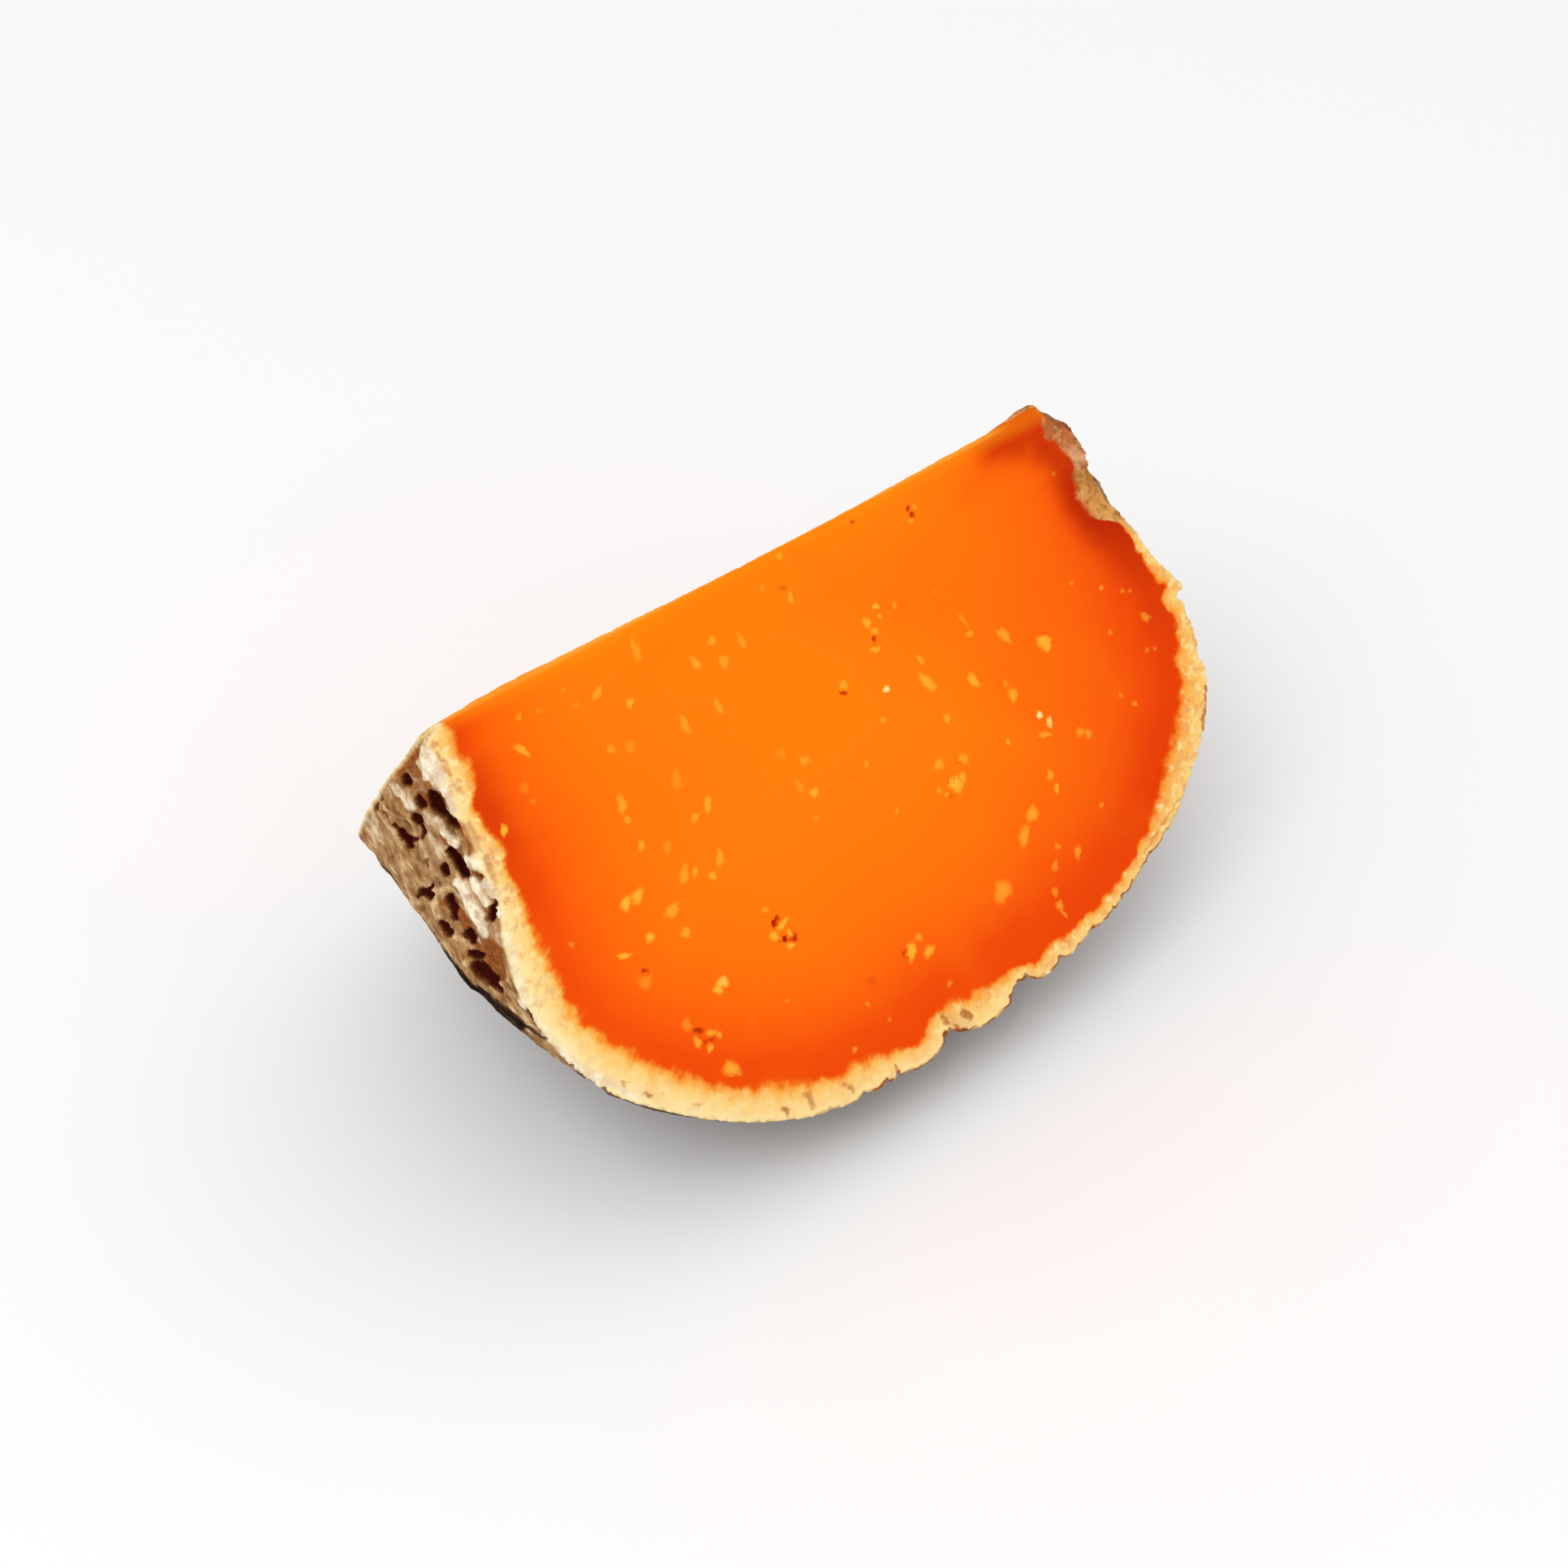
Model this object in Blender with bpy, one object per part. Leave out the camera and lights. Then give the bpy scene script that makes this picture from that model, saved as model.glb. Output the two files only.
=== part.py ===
"""A wedge of mimolette, lying on its rind the way a slice of melon does.

The cheese is a flattened ball. Two knife cuts through the ball's axis leave a wedge: two flat
cut faces of orange paste that meet in one straight edge, and a strip of pitted rind between them.

Frame: +Z up, the floor at Z = 0, the ball's axis along X. The cut face that shows best faces -Y.
The origin is the middle of the base of the wedge's bounding box. Lengths are in metres.
"""

import math

import bmesh
import bpy
from mathutils import Vector, noise

MM = 0.001

# The ball and the two cuts.
BALL_RADIUS = 90 * MM
WEDGE_ANGLE = math.radians(64)
BASE_FLAT_DEPTH = 0.9 * MM

# Outlines of the two cut faces in millimetres: (place along the ball's axis, distance from it).
# Each runs from the left end of the straight edge round the rind to its right end. The left end
# of the ball is flattened, and its right end is rounder.
FRONT_OUTLINE = (
    (-61.2, 0), (-66.3, 2.6), (-65.8, 13), (-65, 29), (-66.8, 44), (-64.3, 57), (-56, 69.5),
    (-40, 81.5), (-20, 88.6), (4, 90), (27, 88), (48.2, 82.1), (65.2, 72.2), (75.8, 59.4),
    (77.8, 44), (71.5, 24.5), (68.6, 12), (65.2, 4), (61, 0),
)
BACK_OUTLINE = (
    (-61.2, 0), (-65.2, 2.6), (-65.2, 13), (-65.4, 29), (-62.7, 44), (-57, 57), (-49, 68),
    (-36, 79), (-20, 87.3), (4, 89.8), (27, 88.3), (47.5, 82.5), (63.5, 73), (73, 60),
    (75.5, 44), (72.5, 24.5), (69, 12), (65.2, 4), (61, 0),
)

# The grid of the rind: steps along the outlines and across from one cut to the other. The power
# crowds the steps across towards the front cut, where the chips are.
OUTLINE_STEPS = 150
ACROSS_STEPS = 36
FRONT_CROWDING = 1.25
CURVE_SAMPLES = 16

# Relief of the rind: broad swells, and scattered craters where the crust has been eaten away.
SWELL_HEIGHT = 1.0 * MM
SWELL_SPACING = 24 * MM
CRATER_SPACING = 9.5 * MM
CRATER_DEPTH = 1.7 * MM
CRATER_SHARE = 0.62
CRATER_RADII = (0.26, 0.52)
RIM_WIDTH = 8 * MM
END_FADE = 9 * MM

# The pits that show on the left end: share of the way along the outline, share of the way across,
# radius and depth in millimetres. The first five form a trench beside the front cut.
PITS = (
    (0.062, 0.36, 2.2, 1.9), (0.069, 0.17, 1.7, 1.6), (0.079, 0.24, 2.2, 1.9),
    (0.093, 0.25, 2.6, 2.2), (0.103, 0.22, 2.0, 1.8), (0.056, 0.80, 1.8, 1.5),
    (0.081, 0.62, 1.6, 1.3), (0.106, 0.73, 2.4, 1.8), (0.106, 0.39, 1.6, 1.3),
    (0.131, 0.52, 1.9, 1.6), (0.125, 0.34, 2.3, 1.7), (0.143, 0.28, 2.2, 1.5),
    (0.150, 0.43, 1.7, 1.4), (0.163, 0.18, 3.4, 1.9), (0.119, 0.03, 1.8, 1.4),
)

# Chips broken out of the rind along the front cut: place and distance from the ball's axis, then
# depth, half width along the rim and run back from the cut, all in millimetres.
FRONT_CHIPS = (
    (-15.9, 89.3, 1.0, 1.6, 5), (-8.4, 89.8, 1.5, 1.6, 7), (4.2, 90.0, 2.8, 3.0, 9),
    (20.4, 88.8, 3.5, 3.0, 12), (28.8, 87.5, 0.8, 1.6, 5), (66.4, 6.2, 1.8, 3.4, 2),
    (69.5, 16.0, 3.4, 4.4, 2.5), (68.8, 15.2, 1.3, 3.6, 9),
)
CHIP_EASE = 1.2


def curve_through(points, steps):
    """Points spaced evenly along a smooth curve through the given ones, in metres."""
    knots = [Vector(point) for point in points]
    knots = [2 * knots[0] - knots[1], *knots, 2 * knots[-1] - knots[-2]]
    fine = []
    for before, start, end, after in zip(knots, knots[1:], knots[2:], knots[3:]):
        for sample in range(CURVE_SAMPLES):
            t = sample / CURVE_SAMPLES
            slope = 0.5 * t * (end - before)
            bend = t**2 * (before - 2.5 * start + 2 * end - 0.5 * after)
            twist = 0.5 * t**3 * (3 * start - before - 3 * end + after)
            fine.append(start + slope + bend + twist)
    fine.append(knots[-2])
    lengths = [0.0]
    for start, end in zip(fine, fine[1:]):
        lengths.append(lengths[-1] + (end - start).length)
    found = []
    piece = 0
    for step in range(steps + 1):
        wanted = lengths[-1] * step / steps
        while piece < len(fine) - 2 and lengths[piece + 1] < wanted:
            piece += 1
        share = (wanted - lengths[piece]) / (lengths[piece + 1] - lengths[piece])
        found.append(fine[piece].lerp(fine[piece + 1], share) * MM)
    return found


def smooth_step(value):
    """0 below 0, 1 above 1, and an S-curve between them."""
    t = min(max(value, 0.0), 1.0)
    return t * t * (3 - 2 * t)


def bowl(distance, radius):
    """Depth of a round pit as a share of its full depth: flat in the middle, steep at the wall."""
    return smooth_step(1.25 - distance / radius)


def crater_depth(point):
    """How deep the nearest scattered crater is at a point of the rind."""
    distances, centres = noise.voronoi(point / CRATER_SPACING)
    size = 0.5 + 0.5 * math.sin(97 * centres[0].x + 131 * centres[0].y + 71 * centres[0].z)
    if size > CRATER_SHARE:
        return 0.0
    radius = CRATER_RADII[0] + (CRATER_RADII[1] - CRATER_RADII[0]) * size / CRATER_SHARE
    return CRATER_DEPTH * radius / CRATER_RADII[1] * bowl(distances[0], radius)


def chip_depth(outline_point, from_front):
    """How deep the chips along the front cut are, from_front metres behind it."""
    deepest = 0.0
    for x, radius, depth, half_width, run in FRONT_CHIPS:
        side = (outline_point - Vector((x, radius)) * MM).length / (half_width * MM)
        back = from_front / (run * MM)
        deepest = max(deepest, depth * MM * math.exp(-side * side) * smooth_step(CHIP_EASE - back))
    return deepest


def around_axis(outline_point, across):
    """The point at this place and distance from the ball's axis, across shares past the front cut."""
    azimuth = (across - 0.5) * WEDGE_ANGLE
    x, radius = outline_point
    return Vector((x, radius * math.sin(azimuth), -radius * math.cos(azimuth)))


class Rind:
    """The outer surface of the wedge, from the front cut (across = 0) to the back one (across = 1)."""

    def __init__(self):
        self.front = curve_through(FRONT_OUTLINE, OUTLINE_STEPS)
        self.back = curve_through(BACK_OUTLINE, OUTLINE_STEPS)
        self.pits = []
        for along, across, radius, depth in PITS:
            centre = around_axis(self.outline(round(along * OUTLINE_STEPS), across)[0], across)
            self.pits.append((centre, radius * MM, depth * MM))

    def outline(self, step, across):
        """A point of the smooth outline and its outward normal, in a plane through the axis."""
        mix = smooth_step(across)
        before = max(step - 1, 0)
        after = min(step + 1, OUTLINE_STEPS)
        along = (self.front[after] - self.front[before]).lerp(self.back[after] - self.back[before], mix)
        along.normalize()
        return self.front[step].lerp(self.back[step], mix), Vector((-along.y, along.x))

    def pit_depth(self, point):
        """How deep the pits of the left end are at a point of the smooth rind."""
        return max(depth * bowl((point - centre).length, radius) for centre, radius, depth in self.pits)

    def place(self, step, across):
        """The point of the pitted rind this many steps along it, across shares past the front cut."""
        here, outward = self.outline(step, across)
        bare = around_axis(here, across)
        from_front = across * here.y * WEDGE_ANGLE
        relief = SWELL_HEIGHT * noise.noise(bare / SWELL_SPACING) - crater_depth(bare)
        relief *= smooth_step(from_front / RIM_WIDTH) * smooth_step(here.y / END_FADE)
        relief = min(relief, -self.pit_depth(bare)) if self.pit_depth(bare) > 0 else relief
        pitted = here + outward * (relief - chip_depth(here, from_front))
        point = around_axis(Vector((pitted.x, max(pitted.y, 0.0))), across)
        point.z = max(point.z + BALL_RADIUS - BASE_FLAT_DEPTH, 0.0)
        return point


def wrap_rind(bm, rind):
    """Wraps a grid onto the rind and returns its corners, as rows from the front cut to the back."""
    bmesh.ops.create_grid(bm, x_segments=OUTLINE_STEPS, y_segments=ACROSS_STEPS, size=0.5)
    rows = [[None] * (OUTLINE_STEPS + 1) for _ in range(ACROSS_STEPS + 1)]
    for vert in bm.verts:
        step = round((vert.co.x + 0.5) * OUTLINE_STEPS)
        row = round((vert.co.y + 0.5) * ACROSS_STEPS)
        rows[row][step] = vert
        vert.co = rind.place(step, (row / ACROSS_STEPS) ** FRONT_CROWDING)
    return rows


def build_wedge():
    bm = bmesh.new()
    rows = wrap_rind(bm, Rind())
    bm.faces.new(rows[0])
    bm.faces.new(rows[-1])
    bmesh.ops.remove_doubles(bm, verts=bm.verts, dist=0.01 * MM)
    bmesh.ops.triangulate(bm, faces=bm.faces)
    bmesh.ops.recalc_face_normals(bm, faces=bm.faces)
    return bm


def centre_over_origin(bm):
    """Slides the wedge along the floor until its bounding box is centred on the origin."""
    xs = [vert.co.x for vert in bm.verts]
    ys = [vert.co.y for vert in bm.verts]
    middle = Vector((min(xs) + max(xs), min(ys) + max(ys), 0)) / 2
    bmesh.ops.translate(bm, verts=bm.verts, vec=-middle)


def cheese_material():
    """The orange of the paste, for the whole wedge."""
    material = bpy.data.materials.new("mimolette_paste")
    material.use_nodes = True
    shader = material.node_tree.nodes["Principled BSDF"]
    shader.inputs["Base Color"].default_value = (0.96, 0.21, 0.012, 1)
    shader.inputs["Roughness"].default_value = 0.45
    shader.inputs["Metallic"].default_value = 0.0
    return material


def main():
    for obj in list(bpy.data.objects):
        bpy.data.objects.remove(obj)
    bm = build_wedge()
    centre_over_origin(bm)
    mesh = bpy.data.meshes.new("mimolette_wedge")
    bm.to_mesh(mesh)
    bm.free()
    mesh.materials.append(cheese_material())
    wedge = bpy.data.objects.new("mimolette_wedge", mesh)
    bpy.context.scene.collection.objects.link(wedge)


main()
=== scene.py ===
import math

import bmesh
import bpy
import numpy as np
from mathutils import Matrix, Vector, noise
from mathutils.bvhtree import BVHTree
from mathutils.kdtree import KDTree


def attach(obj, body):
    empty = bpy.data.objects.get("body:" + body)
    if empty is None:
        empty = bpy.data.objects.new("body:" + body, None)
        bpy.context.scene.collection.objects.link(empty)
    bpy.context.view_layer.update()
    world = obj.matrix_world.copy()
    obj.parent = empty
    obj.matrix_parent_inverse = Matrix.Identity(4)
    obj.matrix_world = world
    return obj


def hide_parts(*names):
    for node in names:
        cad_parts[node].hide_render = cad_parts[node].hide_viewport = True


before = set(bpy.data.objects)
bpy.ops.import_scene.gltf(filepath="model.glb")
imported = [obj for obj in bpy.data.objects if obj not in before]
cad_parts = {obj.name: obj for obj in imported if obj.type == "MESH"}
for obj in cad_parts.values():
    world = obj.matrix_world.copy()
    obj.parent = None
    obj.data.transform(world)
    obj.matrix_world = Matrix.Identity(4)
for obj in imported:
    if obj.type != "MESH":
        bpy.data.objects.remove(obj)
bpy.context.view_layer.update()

# The light and floor of a plain studio: a pale floor under the cheese, a bright even surround, and
# one large soft lamp up on the camera's left.
MM = 0.001
FLOOR_SIZE = 6.0
FLOOR_COLOUR = (0.96, 0.96, 0.96, 1)
FLOOR_ROUGHNESS = 0.9
FLOOR_GLOSS = 0.1
SURROUND_STRENGTH = 0.85
KEY_PLACE = (-0.9, -0.35, 1.3)
KEY_SIZE = 0.9
KEY_POWER = 6.3
KEY_AIM = (0, 0, 0.045)

bpy.ops.object.select_all(action="DESELECT")
bpy.ops.mesh.primitive_plane_add(size=FLOOR_SIZE, location=(0, 0, 0))
floor = bpy.context.active_object
floor.name = "studio_floor"
paper = bpy.data.materials.new("floor_paper")
paper.use_nodes = True
paper.node_tree.nodes["Principled BSDF"].inputs["Base Color"].default_value = FLOOR_COLOUR
paper.node_tree.nodes["Principled BSDF"].inputs["Roughness"].default_value = FLOOR_ROUGHNESS
paper.node_tree.nodes["Principled BSDF"].inputs["Specular IOR Level"].default_value = FLOOR_GLOSS
floor.data.materials.append(paper)

surround = bpy.data.worlds.new("surround")
surround.use_nodes = True
surround.node_tree.nodes["Background"].inputs["Color"].default_value = (1, 1, 1, 1)
surround.node_tree.nodes["Background"].inputs["Strength"].default_value = SURROUND_STRENGTH
bpy.context.scene.world = surround
bpy.context.scene.view_settings.view_transform = "Standard"


def soft_lamp(name, place, size, power):
    """A square lamp at a place, turned to the middle of the cheese."""
    lamp = bpy.data.lights.new(name, "AREA")
    lamp.size = size
    lamp.energy = power
    stand = bpy.data.objects.new(name, lamp)
    bpy.context.scene.collection.objects.link(stand)
    stand.location = place
    stand.rotation_euler = (Vector(KEY_AIM) - Vector(place)).to_track_quat("-Z", "Y").to_euler()


soft_lamp("key", KEY_PLACE, KEY_SIZE, KEY_POWER)

# The camera stands where the photograph was taken from: left of the front cut and above it.
AIM = Vector((-7.865, -10.256, 48.6)) * MM
AZIMUTH = math.radians(-40)
ELEVATION = math.radians(41.89)
DISTANCE = 630 * MM
LENS = 87.52
SENSOR = 36.0
PHOTO_SIDE = 1932
NEAREST = 0.01

back = Vector((
    math.sin(AZIMUTH) * math.cos(ELEVATION),
    -math.cos(AZIMUTH) * math.cos(ELEVATION),
    math.sin(ELEVATION),
))
right = Vector((math.cos(AZIMUTH), math.sin(AZIMUTH), 0))
up = back.cross(right)
eye = AIM + back * DISTANCE
focal_pixels = LENS / SENSOR * PHOTO_SIDE

view = bpy.data.cameras.new("camera")
view.lens = LENS
view.sensor_width = SENSOR
view.clip_start = NEAREST
camera = bpy.data.objects.new("camera", view)
bpy.context.scene.collection.objects.link(camera)
camera.matrix_world = Matrix.Translation(eye) @ Matrix((right, up, back)).transposed().to_4x4()
bpy.context.scene.camera = camera

# The wedge itself: hard orange paste with two knife cuts, and a thick crust that mites have eaten
# into pits. The solid's shape is rounded off, remeshed finely, and gets its relief point by point.
EDGE_PLACE = np.array((0, -0.068, 89.1)) * MM
EDGE_MIDDLE = -0.14 * MM
HALF_ANGLE = math.radians(32)
FRONT_OUT = np.array((0, -math.cos(HALF_ANGLE), math.sin(HALF_ANGLE)))
BACK_OUT = np.array((0, math.cos(HALF_ANGLE), math.sin(HALF_ANGLE)))
CORNER_ANGLE = math.radians(35)
WELD = 0.001 * MM
TOUCH = 0.02 * MM
VOXEL = 0.64 * MM
ON_CUT = 0.34 * MM
RIM_CLEARANCE = 1.2 * MM
FINE_EDGE = 3 * MM
COARSE_DEPTH = 8 * MM
COARSE_RATIO = 0.44
UNSEEN_TURN = -0.25
UNSEEN_DEPTH = 6 * MM
UNSEEN_WEIGHT = 0.25


def apply_modifier(piece, kind, **settings):
    """Adds a modifier to a piece and applies it."""
    modifier = piece.modifiers.new(kind.lower(), kind)
    for name, value in settings.items():
        setattr(modifier, name, value)
    bpy.context.view_layer.objects.active = piece
    bpy.ops.object.modifier_apply(modifier=modifier.name)


def add_piece(name, mesh):
    """Adds an object with a mesh to the scene, as the only one selected."""
    piece = bpy.data.objects.new(name, mesh)
    bpy.context.scene.collection.objects.link(piece)
    bpy.ops.object.select_all(action="DESELECT")
    piece.select_set(True)
    bpy.context.view_layer.objects.active = piece
    return piece


def rows_of(items, name, width, kind=float):
    """One thing about every item of a mesh, as rows of a given width."""
    flat = np.empty(len(items) * width, kind)
    items.foreach_get(name, flat)
    return flat.reshape(-1, width)


def places(mesh):
    """The corners of a mesh, as rows of x, y and z."""
    return rows_of(mesh.vertices, "co", 3)


def outward(mesh):
    """The surface's outward direction at each corner of a mesh."""
    return rows_of(mesh.vertex_normals, "vector", 3)


def edges(mesh):
    """The edges of a mesh, as pairs of corner numbers."""
    return rows_of(mesh.edges, "vertices", 2, int)


def put(mesh, points):
    """Moves the corners of a mesh to these points."""
    mesh.vertices.foreach_set("co", points.ravel())
    mesh.update()


def smooth_step(value):
    """0 below 0, 1 above 1, and an S-curve between them."""
    t = np.clip(value, 0, 1)
    return t * t * (3 - 2 * t)


def grain(points, size, seed):
    """Smooth noise between about -1 and 1 at each point, with lumps of a given size."""
    return np.array([noise.noise(Vector(point) / size + Vector((seed, seed, seed))) for point in points])


def layered(points, layers):
    """The sum of some layers of noise, each with a size, a strength and a seed."""
    return sum(strength * grain(points, size, seed) for size, strength, seed in layers)


def from_cuts(points):
    """How far each point lies inside the front cut and inside the back one."""
    return -(points - EDGE_PLACE) @ FRONT_OUT, -(points - EDGE_PLACE) @ BACK_OUT


def from_edge(points):
    """How far each point lies from the straight edge."""
    return np.hypot(points[:, 1] - EDGE_PLACE[1], points[:, 2] - EDGE_PLACE[2])


def turn(points):
    """Degrees round the rim, from the left end of the straight edge to its right end."""
    return np.degrees(np.arctan2(from_edge(points), EDGE_MIDDLE - points[:, 0]))


def pixels(points):
    """Where each point is seen in the photograph, in its pixels."""
    offset = points - np.array(eye)
    ahead = -offset @ np.array(back)
    across = offset @ np.array(right) / ahead * focal_pixels
    down = -offset @ np.array(up) / ahead * focal_pixels
    return np.stack((across, down), 1) + PHOTO_SIDE / 2


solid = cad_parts["mimolette_wedge"]
wedge = add_piece("cheese_wedge", solid.data.copy())
bpy.ops.object.mode_set(mode="EDIT")
bpy.ops.mesh.select_all(action="SELECT")
bpy.ops.mesh.remove_doubles(threshold=WELD)
bpy.ops.mesh.tris_convert_to_quads(face_threshold=CORNER_ANGLE, shape_threshold=CORNER_ANGLE)
form = bmesh.from_edit_mesh(wedge.data)
crease = form.edges.layers.float.new("crease_edge")
for side in form.edges:
    ends = np.array([corner.co for corner in side.verts])
    on_a_cut = min(abs(inside).max() for inside in from_cuts(ends)) < TOUCH
    if on_a_cut and side.calc_face_angle(0) > CORNER_ANGLE:
        side[crease] = 1.0
bmesh.update_edit_mesh(wedge.data)
bpy.ops.object.mode_set(mode="OBJECT")
apply_modifier(wedge, "SUBSURF", levels=2, render_levels=2)
apply_modifier(wedge, "REMESH", mode="VOXEL", voxel_size=VOXEL)

# Eyes of the paste, small holes whose dark red is painted shade: place in the photograph, half
# width, half height, all in its pixels, then depth in millimetres and how dark. Margins round them
# are in pixels too.
UNTHINNED_MARGIN = 9
SPLIT_MARGINS = (6, 4)
DENTED_MARGIN = 8
EYES = (
    (795, 1198, 5, 5, 0.4, 0.8), (955, 1138, 3.5, 6, 0.4, 0.9), (958, 1132, 3, 3.5, 0.3, 0.8),
    (967, 1157, 6.5, 4, 0.5, 1.0), (979, 1155, 4, 5, 0.4, 0.9), (972, 1162, 4, 3, 0.3, 0.7),
    (862, 1270, 5.5, 4, 0.4, 0.8), (858, 1277, 3, 3.5, 0.3, 0.7), (877, 1280, 4.5, 5, 0.4, 0.8),
    (870, 1285, 3, 3, 0.3, 0.6), (1119, 626, 2.5, 3.5, 0.3, 0.8), (1124, 634, 3, 4, 0.3, 0.8),
    (1078, 788, 2.6, 6, 0.3, 0.7), (1074, 780, 3, 2.6, 0.2, 0.6), (1040, 854, 4, 2.6, 0.3, 0.7),
    (1051, 641, 3, 2.5, 0.2, 0.5), (1172, 962, 3.5, 4.5, 0.3, 0.6), (1181, 937, 3.5, 3.5, 0.3, 0.5),
    (1117, 1174, 3.6, 5, 0.3, 0.7), (1290, 781, 6, 2.4, 0.2, 0.5), (1167, 891, 2.6, 3.5, 0.2, 0.5),
    (1075, 1209, 6, 6, 0.08, 0.3), (965, 723, 5, 4, 0.08, 0.3), (1168, 980, 5, 2.6, 0.1, 0.35),
    (1083, 756, 2.6, 2.6, 0.1, 0.4), (893, 1051, 5, 5, 0.05, 0.12), (1052, 958, 7, 5, 0.05, 0.12),
)


def near_eyes(seen, margin):
    """Which seen points lie on an eye or within a margin round it, in pixels."""
    near = np.zeros(len(seen), bool)
    for x, y, half_width, half_height, _, _ in EYES:
        across = (seen[:, 0] - x) / (half_width + margin)
        down = (seen[:, 1] - y) / (half_height + margin)
        near |= np.hypot(across, down) < 1
    return near


# The remeshed cuts are laid flat again, and the middles of the cuts get fewer, larger faces.
points = places(wedge.data)
in_front, in_back = from_cuts(points)
on_front = np.abs(in_front) < ON_CUT
on_back = np.abs(in_back) < ON_CUT
points += np.outer(np.where(on_front, in_front, 0), FRONT_OUT)
points += np.outer(np.where(on_back & ~on_front, in_back, 0), BACK_OUT)
put(wedge.data, points)


def search_tree(points, rows):
    """A search tree of the points in some rows."""
    found = KDTree(len(rows))
    for row in rows:
        found.insert(points[row], int(row))
    found.balance()
    return found


def rim_tree(points, on_cut, pairs):
    """A search tree of the corners where a cut meets the crust."""
    leaves = on_cut[pairs[:, 0]] != on_cut[pairs[:, 1]]
    rim = np.unique(pairs[leaves].ravel())
    return search_tree(points, rim[on_cut[rim] & (from_edge(points[rim]) > RIM_CLEARANCE)])


def depth_under_crust(points, on_front, on_back, pairs):
    """How far each point of the cuts lies from the rim of its cut."""
    depth = np.zeros(len(points))
    for on_cut in (on_front, on_back):
        rim = rim_tree(points, on_cut, pairs)
        for corner in np.flatnonzero(on_cut):
            depth[corner] = max(depth[corner], rim.find(points[corner])[2])
    return depth


pairs = edges(wedge.data)
depth = depth_under_crust(points, on_front, on_back, pairs)
middle = wedge.vertex_groups.new(name="middle")
deep = (depth > COARSE_DEPTH) & (from_edge(points) > FINE_EDGE)
deep &= ~(near_eyes(pixels(points), UNTHINNED_MARGIN) & on_front)
middle.add(np.flatnonzero(deep).tolist(), 1.0, "REPLACE")
unseen = (outward(wedge.data) @ np.array(back) < UNSEEN_TURN) & ~on_front & ~on_back
unseen &= in_front > UNSEEN_DEPTH
middle.add(np.flatnonzero(unseen).tolist(), UNSEEN_WEIGHT, "REPLACE")
apply_modifier(
    wedge, "DECIMATE", ratio=COARSE_RATIO, vertex_group="middle", use_collapse_triangulate=True
)
wedge.vertex_groups.clear()

# Pits of the left end, as strokes in the photograph's pixels: two ends and a half width, then
# depth in millimetres and how dark. The dark is partly the crust's own brown and partly painted
# shade in the hollows.
PITS = (
    (499, 960, 501, 963, 6, 0.9, 1), (516, 984, 520, 993, 4.5, 0.7, 0.9),
    (534, 982, 541, 995, 8, 1, 1), (541, 996, 549, 1004, 3, 0.5, 0.8),
    (549, 1003, 561, 1017, 4.6, 0.9, 0.95), (511, 1007, 516, 1012, 5, 0.8, 1),
    (518, 1013, 523, 1023, 2.4, 0.4, 0.8), (523, 1023, 521, 1031, 2.8, 0.5, 0.85),
    (485, 1017, 494, 1027, 2.6, 0.5, 0.85), (494, 1027, 502, 1035, 5.5, 0.9, 1),
    (502, 1036, 505, 1042, 4, 0.6, 1), (505, 1036, 514, 1033, 2.5, 0.4, 0.7),
    (556, 1049, 568, 1066, 5.5, 1.1, 1), (566, 1062, 573, 1077, 5.8, 1.1, 1),
    (547, 1068, 549, 1075, 4.4, 0.8, 1), (522, 1098, 529, 1103, 5, 0.8, 1),
    (528, 1095, 532, 1092, 2.6, 0.4, 0.9), (517, 1103, 522, 1102, 2.4, 0.4, 0.8),
    (553, 1108, 558, 1117, 5.6, 0.9, 1), (557, 1125, 560, 1131, 3, 0.5, 0.9),
    (544, 1138, 554, 1151, 4.4, 0.9, 1), (576, 1151, 582, 1158, 5.2, 0.8, 1),
    (580, 1175, 590, 1178, 4.5, 0.7, 0.95), (587, 1191, 604, 1209, 8, 1.1, 1),
    (604, 1209, 612, 1221, 4.8, 1, 1), (607, 1121, 605, 1131, 4.6, 0.9, 1),
    (611, 1111, 608, 1120, 2.6, 0.5, 0.8), (648, 1250, 652, 1256, 3.4, 0.6, 0.9),
    (462, 992, 463, 995, 3.6, 0.5, 0.75), (469, 983, 470, 985, 2.4, 0.3, 0.6),
    (525, 1060, 527, 1067, 2.6, 0.3, 0.45), (538, 1084, 541, 1091, 2.8, 0.3, 0.45),
    (588, 1077, 592, 1080, 2.4, 0.3, 0.6), (472, 1001, 475, 1005, 2.2, 0.3, 0.5),
)
# A painted shadow of the under side along the left end's outline, in the same way.
UNDERSIDE_SHADOW_LINE = (
    (439, 1032, 470, 1066, 2.5, 0, 0.8), (470, 1066, 540, 1160, 2.5, 0, 0.9),
    (538, 1166, 569, 1202, 4.5, 0, 1), (569, 1202, 600, 1236, 5, 0, 1),
    (600, 1236, 640, 1268, 4.5, 0, 1), (640, 1268, 664, 1287, 2.5, 0, 0.8),
)
# The painted shade goes on past that line. So the line is drawn again further out, by these pixels.
UNDERSIDE_SHADOW_STEPS = (5, 9, 13, 18)
UNDERSIDE_SHADOW_WAY = np.array((-0.74, 0.67))
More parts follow.
